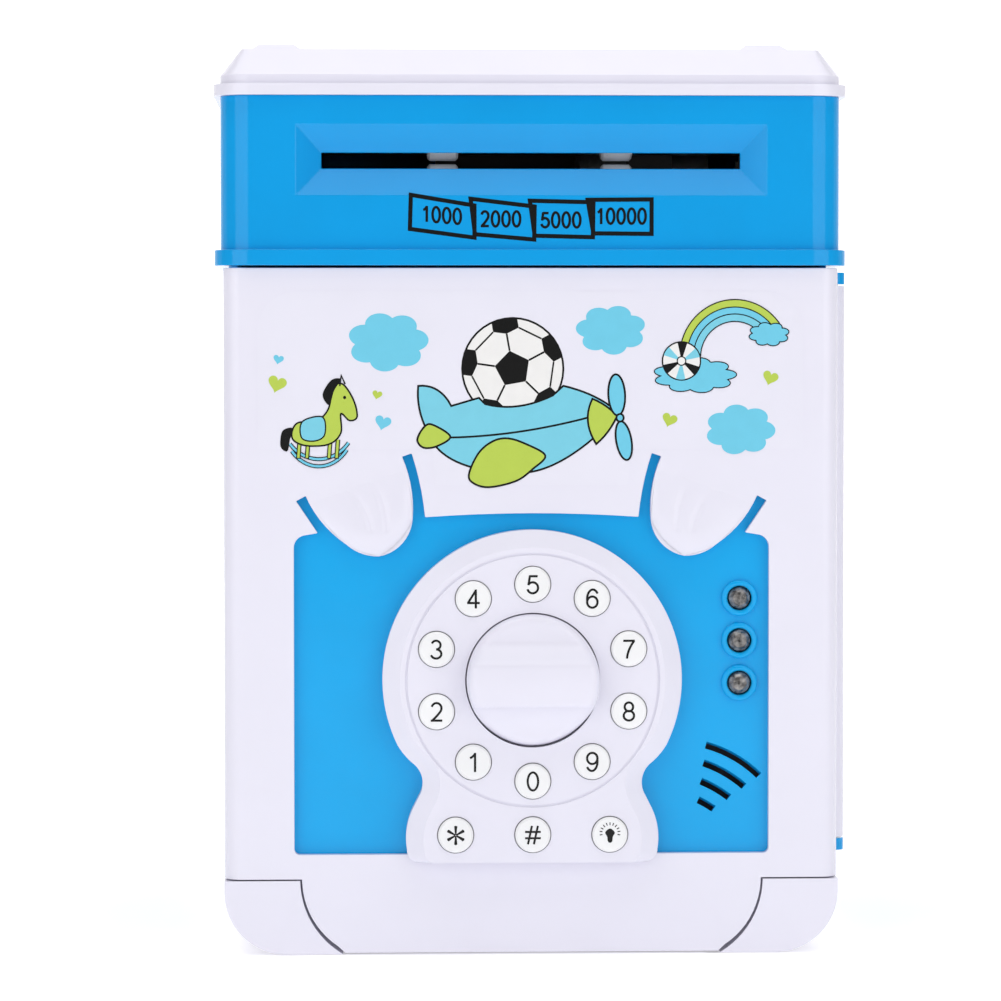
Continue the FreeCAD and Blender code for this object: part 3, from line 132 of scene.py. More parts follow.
def plastic(name, colour, rough=0.25, grain=0.06, depth=0.00002, vary=0.03, glow=0.0,
            gloss=0.5):
    """Moulded plastic: faint flow marks in the colour, handling marks in the gloss, fine skin."""
    material, tree, shader = new_material(name)
    place = tree.nodes.new("ShaderNodeTexCoord")
    flow = noise(tree, place, 55.0, 4.0)
    marks = noise(tree, place, 70.0, 3.0)
    skin = noise(tree, place, 2600.0, 2.0)
    tone = ramp(tree, flow.outputs["Fac"], shade(colour, 1.0 - vary), shade(colour, 1.0 + vary))
    tree.links.new(tone, shader.inputs["Base Color"])
    tree.links.new(span(tree, marks.outputs["Fac"], rough * 0.95, rough * 1.06),
                   shader.inputs["Roughness"])
    shader.inputs["Specular IOR Level"].default_value = gloss
    bump(tree, shader, skin.outputs["Fac"], grain, depth)
    if glow:
        shader.inputs["Subsurface Weight"].default_value = glow
        shader.inputs["Subsurface Radius"].default_value = (0.0012, 0.0011, 0.0012)
        shader.inputs["Subsurface Scale"].default_value = 1.0
    return material


def metal(name, colour, rough, stretch=(1.0, 1.0, 1.0)):
    """Plated or drawn metal with fine brushing and a slightly cloudy gloss."""
    material, tree, shader = new_material(name)
    place = tree.nodes.new("ShaderNodeTexCoord")
    cloud = noise(tree, place, 180.0, 4.0)
    brush = noise(tree, place, 900.0, 2.0, stretch)
    tone = ramp(tree, cloud.outputs["Fac"], shade(colour, 0.88), shade(colour, 1.06))
    tree.links.new(tone, shader.inputs["Base Color"])
    shader.inputs["Metallic"].default_value = 1.0
    tree.links.new(span(tree, brush.outputs["Fac"], rough * 0.75, rough * 1.3),
                   shader.inputs["Roughness"])
    bump(tree, shader, brush.outputs["Fac"], 0.1, 0.00002)
    return material


def ink(name, colour, rough=0.3):
    """Printing ink under a clear film: a fine screen in the colour and a slight mottle."""
    material, tree, shader = new_material(name)
    place = tree.nodes.new("ShaderNodeTexCoord")
    shader.inputs["Specular IOR Level"].default_value = 0.25
    mottle = noise(tree, place, 300.0, 5.0)
    screen = noise(tree, place, 3800.0, 1.0)
    tone = ramp(tree, mottle.outputs["Fac"], shade(colour, 0.985), shade(colour, 1.015))
    tree.links.new(tone, shader.inputs["Base Color"])
    tree.links.new(span(tree, screen.outputs["Fac"], rough * 0.9, rough * 1.2),
                   shader.inputs["Roughness"])
    bump(tree, shader, screen.outputs["Fac"], 0.03, 0.00001)
    return material


def lens_plastic(name):
    """Clear lamp lens over a grey die: bright flecks and dark speckle inside a glossy dome."""
    material, tree, shader = new_material(name)
    place = tree.nodes.new("ShaderNodeTexCoord")
    cell = tree.nodes.new("ShaderNodeTexVoronoi")
    cell.inputs["Scale"].default_value = 900.0
    tree.links.new(place.outputs["Object"], cell.inputs["Vector"])
    cloud = noise(tree, place, 850.0, 5.0)
    tone = ramp(tree, cloud.outputs["Fac"], (0.03, 0.028, 0.028), (0.30, 0.28, 0.265), 0.36, 0.66)
    tree.links.new(tone, shader.inputs["Base Color"])
    shader.inputs["Roughness"].default_value = 0.12
    shader.inputs["Metallic"].default_value = 0.25
    shader.inputs["Coat Weight"].default_value = 1.0
    shader.inputs["Coat Roughness"].default_value = 0.03
    bump(tree, shader, cell.outputs["Distance"], 0.35, 0.00025)
    return material


def board_material(name):
    """Green solder mask with copper traces under it."""
    material, tree, shader = new_material(name)
    place = tree.nodes.new("ShaderNodeTexCoord")
    trace = tree.nodes.new("ShaderNodeTexBrick")
    trace.inputs["Scale"].default_value = 160.0
    trace.inputs["Mortar Size"].default_value = 0.03
    trace.inputs["Color1"].default_value = (0.012, 0.13, 0.05, 1.0)
    trace.inputs["Color2"].default_value = (0.010, 0.10, 0.04, 1.0)
    trace.inputs["Mortar"].default_value = (0.03, 0.26, 0.09, 1.0)
    tree.links.new(place.outputs["Object"], trace.inputs["Vector"])
    tree.links.new(trace.outputs["Color"], shader.inputs["Base Color"])
    shader.inputs["Roughness"].default_value = 0.35
    bump(tree, shader, trace.outputs["Fac"], 0.2, 0.00003)
    return material


def winding(name, colour):
    """Enamelled wire laid turn on turn, with painted shade in the grooves between turns."""
    material, tree, shader = new_material(name)
    place = tree.nodes.new("ShaderNodeTexCoord")
    turns = tree.nodes.new("ShaderNodeTexWave")
    turns.bands_direction = "Z"
    turns.inputs["Scale"].default_value = 900.0
    turns.inputs["Distortion"].default_value = 0.4
    tree.links.new(place.outputs["Object"], turns.inputs["Vector"])
    # Painted shade: the colour falls to half its tone in the grooves between turns, where the bump
    # sinks.
    tone = ramp(tree, turns.outputs["Fac"], shade(colour, 0.5), colour, 0.1, 0.8)
    tree.links.new(tone, shader.inputs["Base Color"])
    shader.inputs["Metallic"].default_value = 0.8
    shader.inputs["Roughness"].default_value = 0.3
    bump(tree, shader, turns.outputs["Fac"], 0.6, 0.0001)
    return material


WHITE = plastic("white_shell_plastic", (0.772, 0.757, 0.855), 0.24, vary=0.008, glow=0.05)
CASE_BLUE = plastic("blue_case_plastic", (0.005, 0.322, 0.725), 0.13, vary=0.02, gloss=0.28)
PANEL_BLUE = plastic("blue_panel_plastic", (0.002, 0.370, 0.780), 0.14, vary=0.02, gloss=0.3)
KEY_CREAM = plastic("cream_key_plastic", (0.85, 0.85, 0.86), 0.2, vary=0.02, glow=0.12)
GEAR_WHITE = plastic("white_gear_plastic", (0.74, 0.73, 0.68), 0.35, vary=0.03)
DECK_BLACK = plastic("black_deck_plastic", (0.018, 0.018, 0.02), 0.4, grain=0.15, vary=0.1)
PAD_RUBBER = plastic("foot_pad_rubber", (0.05, 0.05, 0.052), 0.75, grain=0.4, vary=0.12)
MAT_RUBBER = plastic("silicone_mat_rubber", (0.60, 0.60, 0.64), 0.6, grain=0.25, vary=0.06)
# Painted light: the roller's colour is lightened far past grey rubber to make up for the shade
# inside its slot.
ROLLER_PAINTED_LIGHT = plastic("grey_roller_rubber_painted_light", (0.80, 0.84, 0.90), 0.55, grain=0.4, vary=0.1)
STEEL = metal("plated_steel", (0.58, 0.59, 0.61), 0.3)
MOTOR_STEEL = metal("motor_can_steel", (0.50, 0.51, 0.52), 0.38, (8.0, 1.0, 1.0))
BOARD = board_material("board_green_mask")
COPPER = winding("coil_copper_wire", (0.62, 0.27, 0.11))
CELL = plastic("cell_wrap_film", (0.06, 0.20, 0.07), 0.28, vary=0.1)
PAPER = plastic("cone_pressed_paper", (0.035, 0.033, 0.03), 0.8, grain=0.7, depth=0.0001, vary=0.2)
LENS = lens_plastic("clear_lamp_lens")
INK_BLACK = ink("black_ink", (0.006, 0.006, 0.006), 0.2)
INK_SKY = ink("sky_ink", (0.155, 0.560, 0.740))
INK_BLUE = ink("plane_blue_ink", (0.190, 0.580, 0.720))
INK_LIME = ink("lime_ink", (0.460, 0.590, 0.085))
INK_WHITE = ink("white_ink", (0.80, 0.79, 0.78))
FILM = plastic("label_film", (0.778, 0.765, 0.860), 0.16, grain=0.03, vary=0.01, glow=0.05)

SLOTS = {"shell_white": WHITE, "case_blue": CASE_BLUE, "panel_blue": PANEL_BLUE,
         "key_cream": KEY_CREAM, "lamp_clear": LENS, "roller_grey": ROLLER_PAINTED_LIGHT,
         "pad_rubber": PAD_RUBBER, "mat_rubber": MAT_RUBBER, "steel": STEEL,
         "motor_steel": MOTOR_STEEL, "gear_white": GEAR_WHITE, "deck_black": DECK_BLACK,
         "board_green": BOARD, "coil_copper": COPPER, "cell_wrap": CELL, "cone_paper": PAPER}


def dress_nodes():
    """Give every CAD node the material of its slot in the record."""
    for part in frame["record"]["subparts"]:
        node = frame["nodes"][part["node"]]
        node.data.materials.clear()
        node.data.materials.append(SLOTS[part["material_slot"]])


# ---------------------------------------------------------------- mesh helpers

def finish_mesh(name, mesh, material, body, smooth=True):
    """Turn a bmesh into a piece that rides on a body."""
    data = bpy.data.meshes.new(name)
    mesh.to_mesh(data)
    mesh.free()
    data.materials.append(material)
    if smooth:
        data.polygons.foreach_set("use_smooth", [True] * len(data.polygons))
    piece = bpy.data.objects.new(name, data)
    bpy.context.scene.collection.objects.link(piece)
    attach(piece, body)
    return piece


def node_body(node):
    return frame["nodes"][node]["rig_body"]


def cleaned(node):
    """The node's mesh with its flat faces joined up, ready for rounding."""
    mesh = bmesh.new()
    mesh.from_mesh(frame["nodes"][node].data)
    bmesh.ops.remove_doubles(mesh, verts=mesh.verts, dist=2e-6)
    bmesh.ops.dissolve_limit(mesh, angle_limit=math.radians(0.6), verts=mesh.verts,
                             edges=mesh.edges)
    return mesh


def soften(piece, width, segments, angle):
    """Put small moulded radii on a piece's corners and keep its flat faces flat."""
    bevel = piece.modifiers.new("radii", "BEVEL")
    bevel.width = width
    bevel.segments = segments
    bevel.limit_method = "ANGLE"
    bevel.angle_limit = math.radians(angle)
    normals = piece.modifiers.new("normals", "WEIGHTED_NORMAL")
    normals.keep_sharp = False


def rounded(node, name, slot, width):
    """A copy of a node with small moulded radii on its edges, standing for the node."""
    piece = finish_mesh(name, cleaned(node), SLOTS[slot], node_body(node))
    soften(piece, width, 3, 28)
    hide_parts(node)


def sharp_edges(mesh, face, wanted):
    """The square corners of one flat face whose ends all pass a test."""
    return [edge for edge in mesh.edges
            if all(abs(vert.co.y - face) < SAME for vert in edge.verts)
            and len(edge.link_faces) == 2
            and edge.calc_face_angle(0.0) > CORNER_ANGLE
            and all(wanted(vert.co) for vert in edge.verts)]


def smooth_step(value):
    """A soft rise from nought to one."""
    value = min(1.0, max(0.0, value))
    return value * value * (3 - 2 * value)


# ---------------------------------------------------------------- door details

def bezier(start, control, end, steps=12):
    """Points along a quadratic curve between two points of the door's plane."""
    points = []
    for step in range(steps + 1):
        t = step / steps
        points.append(tuple((1 - t) ** 2 * a + 2 * t * (1 - t) * c + t * t * b
                            for a, c, b in zip(start, control, end)))
    return points


def smooth_through(points, closed=True, steps=8):
    """Catmull-Rom points through a few points."""
    count = len(points)
    result = []
    last = count if closed else count - 1
    for index in range(last):
        if closed:
            p = [points[(index + k) % count] for k in (-1, 0, 1, 2)]
        else:
            p = [points[min(max(index + k, 0), count - 1)] for k in (-1, 0, 1, 2)]
        for step in range(steps):
            t = step / steps
            result.append(tuple(
                0.5 * (2 * b + (c - a) * t + (2 * a - 5 * b + 4 * c - d) * t * t
                       + (3 * b - a - 3 * c + d) * t ** 3)
                for a, b, c, d in zip(*p)))
    if not closed:
        result.append(points[-1])
    return result


def resample(points, count):
    """Evenly spaced points along a line of points."""
    lengths = [0.0]
    for a, b in zip(points, points[1:]):
        lengths.append(lengths[-1] + math.dist(a, b))
    result = []
    index = 0
    for step in range(count):
        goal = lengths[-1] * step / (count - 1)
        while index < len(points) - 2 and lengths[index + 1] < goal:
            index += 1
        run = lengths[index + 1] - lengths[index]
        t = (goal - lengths[index]) / run if run else 0.0
        result.append(tuple(a + (b - a) * t for a, b in zip(points[index], points[index + 1])))
    return result


def near_line(place, line):
    """How far a place is from the nearest point of a line."""
    return min(math.dist(place, spot) for spot in line)


def lobe(side):
    """One soft lobe of the door's shell, crowned, with two shallow grooves down it."""
    tip = (32.0, 83.75)
    outer = (bezier((47.35, 96.3), (43.1, 89.8), (38.9, 86.25), 24)
             + bezier((38.9, 86.25), (36.0, 84.45), tip, 14)[1:])
    inner = (bezier((27.15, 104.5), (25.35, 98.2), (25.05, 91.6), 24)
             + bezier((25.05, 91.6), (27.0, 86.65), tip, 14)[1:])
    rim = outer + inner
    grooves = [smooth_through(line, False) for line in
               ([(39.3, 98.5), (36.8, 96.1), (34.8, 92.8), (33.7, 89.4)],
                [(34.5, 100.7), (32.4, 97.7), (31.1, 94.1), (30.5, 89.4)])]
    crown, edge_width, fade_length, groove_depth, groove_width = 1.1, 4.6, 13.0, 0.26, 0.5
    columns = 36
    mesh = bmesh.new()
    rows = []
    for a, b in zip(resample(outer, 44), resample(inner, 44)):
        line = []
        for column in range(columns + 1):
            u = column / columns
            spot = (a[0] + (b[0] - a[0]) * u, a[1] + (b[1] - a[1]) * u)
            root = 0.34 * (spot[0] - 27.15) + 0.94 * (spot[1] - 104.5) + 0.85
            fade = smooth_step(-root / fade_length)
            inward = min(1.0, near_line(spot, rim) / edge_width)
            height = crown * fade * math.sqrt(1 - (1 - inward) ** 2)
            for groove in grooves:
                gap = near_line(spot, groove) / groove_width
                height -= groove_depth * min(1.0, 2 * fade) * math.exp(-gap ** 2)
            level = DOOR_FACE - (height - SINK) * MM
            line.append(mesh.verts.new((side * spot[0] * MM, level, spot[1] * MM)))
        rows.append(line)
    for low, high in zip(rows, rows[1:]):
        for column in range(columns):
            corners = (low[column], low[column + 1], high[column + 1], high[column])
            mesh.faces.new(corners if side > 0 else corners[::-1])
    bmesh.ops.remove_doubles(mesh, verts=mesh.verts, dist=1e-6)
    name = "door_lobe_right" if side > 0 else "door_lobe_left"
    finish_mesh(name, mesh, WHITE, "door")


def door_front():
    """The door's shell with a soft radius round its window and snug lower edges."""
    mesh = cleaned("door_shell")
    side_foot = min(vert.co.z for vert in mesh.verts if abs(vert.co.x) > DOOR_SIDE)
    tongue_foot = min(vert.co.z for vert in mesh.verts)
    for vert in mesh.verts:
        if min(abs(vert.co.z - side_foot), abs(vert.co.z - tongue_foot)) < SAME:
            vert.co.z -= SNUG
    window = sharp_edges(mesh, DOOR_FACE, lambda spot: abs(spot.x) < WINDOW_HALF
                         and WINDOW_LOW < spot.z < WINDOW_HIGH)
    bmesh.ops.bevel(mesh, geom=window, offset=0.0009, segments=4, profile=0.5, affect="EDGES",
                    clamp_overlap=True)
    piece = finish_mesh("door_front_shell", mesh, WHITE, "door")
    soften(piece, 0.0003, 2, 40)
    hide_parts("door_shell")
    for side in (-1, 1):
        lobe(side)


def panel_front():
    """The blue panel with soft radii on its lamp rings and its sound slots."""
    low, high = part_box("status_lights")
    lamp_x = (low.x + high.x) / 2
    mesh = cleaned("door_panel")
    face = min(vert.co.y for vert in mesh.verts)
    rings = sharp_edges(mesh, face, lambda spot: abs(spot.x - lamp_x) < LAMP_RING)
    bmesh.ops.bevel(mesh, geom=rings, offset=0.00062, segments=5, profile=0.5, affect="EDGES",
                    clamp_overlap=True)
    piece = finish_mesh("door_panel_plate", mesh, PANEL_BLUE, "door")
    soften(piece, 0.00025, 2, 40)
    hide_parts("door_panel")


def knob_front():
    """The lock knob: a disc with a round rim, hollowed softly above and below its grip bar."""
    low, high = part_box("knob")
    level = (low.z + high.z) / 2 / MM
    radius = (high.x - low.x) / 2 / MM - 1.0
    back = DIAL_FACE / MM + 2.4
    front = low.y / MM
    mesh = cleaned("knob")
    bmesh.ops.bisect_plane(mesh, geom=mesh.verts[:] + mesh.edges[:] + mesh.faces[:],
                           plane_co=(0, back * MM, 0), plane_no=(0, -1, 0), clear_outer=True)
    rim_radius, scoop, scoop_level, scoop_rise = 1.9, 8.5, 13.0, 2.9
    upper_depth, slope_start, slope_run = 3.9, 2.8, 5.6
    sectors = 144
    rings = [radius * step / 44 for step in range(1, 45)]

    def depth(across, up):
        """How far the face lies behind the bar at a place: a wide slope above, a scoop below."""
        if up > 0:
            hollow = upper_depth * smooth_step((up - slope_start) / slope_run)
        else:
            offset = up + scoop_level
            hollow = max(0.0, math.sqrt(max(0.0, scoop ** 2 - offset ** 2)) - scoop_rise)
        over = max(0.0, math.hypot(across, up) - (radius - rim_radius))
        crown = 0.3 * min(1.0, (up / 5.0) ** 2)
        return hollow + crown + rim_radius - math.sqrt(max(0.0, rim_radius ** 2 - over ** 2))

    centre = mesh.verts.new((0, (front + depth(0, 0)) * MM, level * MM))
    loops = []
    for ring in rings:
        loop = []
        for sector in range(sectors):
            angle = 2 * math.pi * sector / sectors
            across, up = ring * math.cos(angle), ring * math.sin(angle)
            loop.append(mesh.verts.new((across * MM, (front + depth(across, up)) * MM,
                                        (level + up) * MM)))
        loops.append(loop)
    loops.append([mesh.verts.new((vert.co.x, back * MM, vert.co.z)) for vert in loops[-1]])
    for index in range(sectors):
        other = (index + 1) % sectors
        mesh.faces.new((centre, loops[0][index], loops[0][other]))
        for inner, outer in zip(loops, loops[1:]):
            mesh.faces.new((inner[index], outer[index], outer[other], inner[other]))
    bmesh.ops.recalc_face_normals(mesh, faces=mesh.faces)
    piece = finish_mesh("knob_shell", mesh, WHITE, node_body("knob"))
    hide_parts("knob")


# ---------------------------------------------------------------- printing

class Sheet:
    """Flat printed shapes on one face, gathered by ink."""

    def __init__(self, prefix, body, depth):
        self.prefix = prefix
        self.body = body
        self.depth = depth
        self.layers = {}
        self.count = 0

    def layer(self, material):
        """The mesh of one ink and a level a hair above whatever was printed before."""
        self.count += 1
        mesh = self.layers.setdefault(material.name, (material, bmesh.new()))[1]
        return mesh, self.depth - self.count * INK_STEP

    def fill(self, material, points):
        """A filled outline."""
        mesh, level = self.layer(material)
        area = sum(a[0] * b[1] - b[0] * a[1] for a, b in zip(points, points[1:] + points[:1]))
        if area < 0:
            points = points[::-1]
        mesh.faces.new([mesh.verts.new((x * MM, level, z * MM)) for x, z in points])

    def line(self, material, points, width=0.42, closed=False):
        """A drawn line of even width with mitred joints."""
        mesh, level = self.layer(material)
        spots = [Vector(point) for point in points]
        count = len(spots)
        sides = []
        for index, spot in enumerate(spots):
            before = spots[index - 1] if index or closed else spot
            after = spots[(index + 1) % count] if index < count - 1 or closed else spot
            into, out = (spot - before).normalized(), (after - spot).normalized()
            along = (into + out).normalized()
            half_turn = max(0.45, along.dot(out), along.dot(into))
            off = Vector((-along.y, along.x)) * width / 2 / half_turn
            sides.append([mesh.verts.new(((spot.x + s * off.x) * MM, level,
                                          (spot.y + s * off.y) * MM)) for s in (1, -1)])
        pairs = list(zip(sides, sides[1:])) + ([(sides[-1], sides[0])] if closed else [])
        for (a, b), (c, d) in pairs:
            mesh.faces.new((b, d, c, a))

    def finish(self):
        """Make one piece from each ink."""
        for name, (material, mesh) in self.layers.items():
            finish_mesh(self.prefix + "_" + name, mesh, material, self.body, smooth=False)


def turned(x, z, across, up, turn):
    """A point given from a centre, turned about it by some degrees."""
    tilt = math.radians(turn)
    return (x + across * math.cos(tilt) - up * math.sin(tilt),
            z + across * math.sin(tilt) + up * math.cos(tilt))


def ellipse(x, z, half_x, half_z, turn=0.0, steps=40, start=0.0, end=360.0):
    """An ellipse or, between two angles, an open arc of one."""
    points = []
    full = abs(end - start) >= 360.0
    for step in range(steps + (0 if full else 1)):
        angle = math.radians(start + (end - start) * step / steps)
        points.append(turned(x, z, half_x * math.cos(angle), half_z * math.sin(angle), turn))
    return points


def cloud(sheet, material, x, z, width, height, puffs=7, lead=0.0, outline=None):
    """A cloud whose rim is a row of round puffs."""
    steps = 140
    points = []
    for step in range(steps):
        angle = 2 * math.pi * step / steps
        puff = abs(math.sin(puffs * (angle + lead) / 2)) ** 0.75
        reach = 0.80 + 0.20 * puff
        points.append((x + width / 2 * reach * math.cos(angle),
                       z + height / 2 * reach * math.sin(angle)))
    sheet.fill(material, points)
    if outline:
        sheet.line(outline, points, 0.22, True)


def heart(sheet, material, x, z, size, turn):
    """A small leaning heart."""
    points = []
    for step in range(48):
        t = 2 * math.pi * step / 48
        across = 16 * math.sin(t) ** 3 / 32 * size
        up = (13 * math.cos(t) - 5 * math.cos(2 * t) - 2 * math.cos(3 * t)
              - math.cos(4 * t)) / 32 * size
        points.append(turned(x, z, across, up, turn))
    sheet.fill(material, points)


def outlined(sheet, material, points, width=0.42):
    """A filled shape with a black line round it."""
    sheet.fill(material, points)
    sheet.line(INK_BLACK, points, width, True)


def polar(x, z, reach, angle):
    """The point at a distance and an angle from a centre."""
    return x + reach * math.cos(angle), z + reach * math.sin(angle)


def football(sheet, x, z, radius, tilt):
    """A ball with one middle patch, five rim patches and the seams between them."""
    outlined(sheet, INK_WHITE, ellipse(x, z, radius, radius))
    middle, patch, rim, half_turn = 0.36 * radius, 0.70 * radius, 0.82 * radius, 0.32
    corners = [math.radians(tilt + 72 * k) for k in range(5)]
    sheet.fill(INK_BLACK, [polar(x, z, middle, angle) for angle in corners])
    for angle in corners:
        sheet.line(INK_BLACK, [polar(x, z, middle, angle), polar(x, z, patch, angle)], 0.4)
        edge = [polar(x, z, patch, angle), polar(x, z, rim, angle + half_turn)]
        edge += [polar(x, z, radius, angle + turn) for turn in (0.26, 0.0, -0.26)]
        edge.append(polar(x, z, rim, angle - half_turn))
        sheet.fill(INK_BLACK, edge)
        sheet.line(INK_BLACK, [polar(x, z, rim, angle + half_turn),
                               polar(x, z, rim, angle + 2 * math.pi / 5 - half_turn)], 0.35)


def plane(sheet):
    """A toy plane flying right, with a football for a passenger."""
    football(sheet, -4.0, 123.0, 10.6, 100)
    body = (bezier((-23.8, 119.4), (-24.2, 115.2), (-22.5, 111.2), 8)
            + bezier((-20.1, 106.7), (-15.6, 101.4), (-3.0, 101.2), 14)
            + bezier((-1.5, 101.2), (7.0, 101.9), (17.9, 113.1), 14)
            + bezier((16.4, 115.2), (12.5, 118.0), (6.6, 119.4), 8)
            + bezier((4.4, 117.4), (-3.0, 113.8), (-9.8, 115.6), 10)
            + [(-11.1, 116.9), (-16.9, 115.2)]
            + bezier((-17.6, 116.4), (-20.0, 119.8), (-23.8, 119.4), 8)[:-1])
    outlined(sheet, INK_BLUE, body)
    nose = (bezier((12.7, 116.7), (10.4, 112.0), (13.5, 107.2), 10)
            + bezier((13.5, 107.2), (16.2, 109.4), (17.9, 113.1), 6)[1:]
            + bezier((17.9, 113.1), (15.8, 115.4), (12.7, 116.7), 6)[1:-1])
    outlined(sheet, INK_LIME, nose)
    sheet.line(INK_BLACK, bezier((-17.0, 108.6), (-3.0, 108.9), (11.6, 112.7), 14), 0.42)
    outlined(sheet, INK_LIME, smooth_through([(-24.0, 108.2), (-22.4, 111.0), (-20.6, 111.2),
                                              (-17.1, 108.8), (-19.9, 106.8), (-22.7, 106.5)]))
    outlined(sheet, INK_LIME, smooth_through([(-13.2, 100.9), (-11.2, 105.3), (-8.2, 107.8),
                                              (-5.0, 108.4), (-1.2, 107.2), (2.8, 104.8),
                                              (0.2, 102.0), (-3.3, 99.5), (-8.9, 98.2),
                                              (-12.2, 99.0)]))
    outlined(sheet, INK_SKY, ellipse(17.8, 117.5, 1.75, 4.3, 3))
    outlined(sheet, INK_SKY, ellipse(19.3, 107.9, 1.6, 4.1, 10))
    outlined(sheet, INK_SKY, ellipse(18.5, 112.7, 0.75, 0.8))


def rocking_horse(sheet):
    """A small rocking horse on blue rockers."""
    for lift, half in ((0.0, 7.4), (1.5, 7.9)):
        bow = [(-44.6 + half * math.cos(math.radians(turn)),
                111.6 + lift - 9.0 * math.sin(math.radians(turn)))
               for turn in range(38, 143, 6)]
        sheet.line(INK_BLACK, bow, 0.85)
        sheet.line(INK_SKY, bow, 0.45)
    for x in (-48.6, -46.8, -42.2, -40.6):
        sheet.line(INK_BLACK, [(x, 108.2), (x - 0.3, 104.2)], 0.95)
        sheet.line(INK_LIME, [(x, 108.2), (x - 0.3, 104.4)], 0.5)
    body = smooth_through([(-50.2, 108.6), (-49.2, 111.6), (-45.0, 112.2), (-42.6, 114.6),
                           (-41.6, 119.0), (-39.6, 119.8), (-37.4, 116.6), (-36.6, 113.0),
                           (-38.2, 112.2), (-40.0, 113.6), (-40.0, 109.6), (-42.6, 107.2),
                           (-47.6, 107.0)], steps=6)
    outlined(sheet, INK_LIME, body, 0.35)
    outlined(sheet, INK_BLUE, smooth_through([(-48.0, 112.0), (-43.8, 112.9), (-43.4, 109.2),
                                              (-45.6, 107.9), (-48.2, 108.6)]), 0.3)
    mane = smooth_through([(-42.4, 115.4), (-43.8, 117.6), (-42.0, 120.6), (-40.0, 120.8),
                           (-41.4, 118.4)], steps=6)
    sheet.fill(INK_BLACK, mane)
    sheet.fill(INK_BLACK, smooth_through([(-50.0, 110.6), (-52.2, 110.0), (-52.6, 106.8),
                                          (-51.2, 105.8), (-50.6, 108.4)], steps=6))
    sheet.fill(INK_BLACK, ellipse(-39.2, 117.0, 0.32, 0.36))
    sheet.line(INK_BLACK, [(-40.2, 119.4), (-39.9, 121.6), (-39.1, 119.8)], 0.35)


def rainbow(sheet):
    """Three bands that rise from one cloud and end in a smaller one."""
    for radius, material in ((11.6, INK_LIME), (10.1, INK_SKY), (8.7, INK_BLUE)):
        outer = ellipse(42.6, 125.4, radius, radius * 1.04, 0, 30, 178, 22)
        inner = ellipse(42.6, 125.4, radius - 1.5, (radius - 1.5) * 1.04, 0, 30, 22, 178)
        outlined(sheet, material, outer + inner, 0.24)
    cloud(sheet, INK_SKY, 34.2, 121.6, 17.6, 7.4, 9, 0.3, INK_BLACK)
    cloud(sheet, INK_SKY, 49.8, 130.2, 8.6, 5.0, 8, 0.1, INK_BLACK)
    ball_x, ball_z = 31.4, 124.6
    outlined(sheet, INK_WHITE, ellipse(ball_x, ball_z, 4.0, 4.0), 0.3)
    for turn in range(6):
        angle = math.radians(60 * turn + 12)
        edge = math.radians(30)
        wedge = [(ball_x, ball_z)] + [polar(ball_x, ball_z, 3.9, angle + edge * k / 5)
                                      for k in range(6)]
        sheet.fill(INK_BLACK if turn % 2 else INK_BLUE, wedge)
    outlined(sheet, INK_WHITE, ellipse(ball_x, ball_z, 0.9, 0.9), 0.25)


def label_film():
    """The clear label that carries the printing, cut round the slits beside the lobes."""
    left, right, low, high, radius, lobe_top = -57.4, 57.0, 98.6, 139.2, 8.4, 106.2
    points = []
    for x, start in ((right - radius, 0), (left + radius, 90)):
        points += [polar(x, high - radius, radius, math.radians(start + turn))
                   for turn in range(0, 91, 10)]
    points += [(left, lobe_top), (-21.0, lobe_top), (-20.2, low), (20.2, low), (21.0, lobe_top),
               (right, lobe_top)]
    mesh = bmesh.new()
    top = [mesh.verts.new((x * MM, DOOR_FACE - FILM_THICK, z * MM)) for x, z in points]
    foot = [mesh.verts.new((x * MM, DOOR_FACE + LIFT, z * MM)) for x, z in points]
    mesh.faces.new(top)
    for index in range(len(points)):
        other = (index + 1) % len(points)
        mesh.faces.new((top[index], foot[index], foot[other], top[other]))
    bmesh.ops.recalc_face_normals(mesh, faces=mesh.faces)
    finish_mesh("label_film_sheet", mesh, FILM, "door", smooth=False)


def door_print():
    """All the printing on the label: clouds, hearts and three small scenes."""
    sheet = Sheet("door_print", "door", DOOR_FACE - FILM_THICK - LIFT / 2)
    cloud(sheet, INK_SKY, -30.1, 128.6, 17.0, 12.4, 7, 0.35)
    cloud(sheet, INK_SKY, 16.6, 131.1, 14.8, 10.4, 7, 0.1)
    cloud(sheet, INK_SKY, 43.8, 110.2, 14.8, 10.6, 7, 0.5)
    heart(sheet, INK_SKY, -53.0, 125.0, 2.2, -12)
    heart(sheet, INK_LIME, -53.3, 119.9, 3.9, -16)
    heart(sheet, INK_LIME, -32.4, 117.6, 2.1, -14)
    heart(sheet, INK_SKY, -31.2, 111.8, 3.4, -14)
    heart(sheet, INK_LIME, 50.1, 121.1, 3.3, -18)
    heart(sheet, INK_LIME, 28.9, 112.3, 3.2, -18)
    plane(sheet)
    rocking_horse(sheet)
    rainbow(sheet)
    sheet.finish()


# ---------------------------------------------------------------- lettering

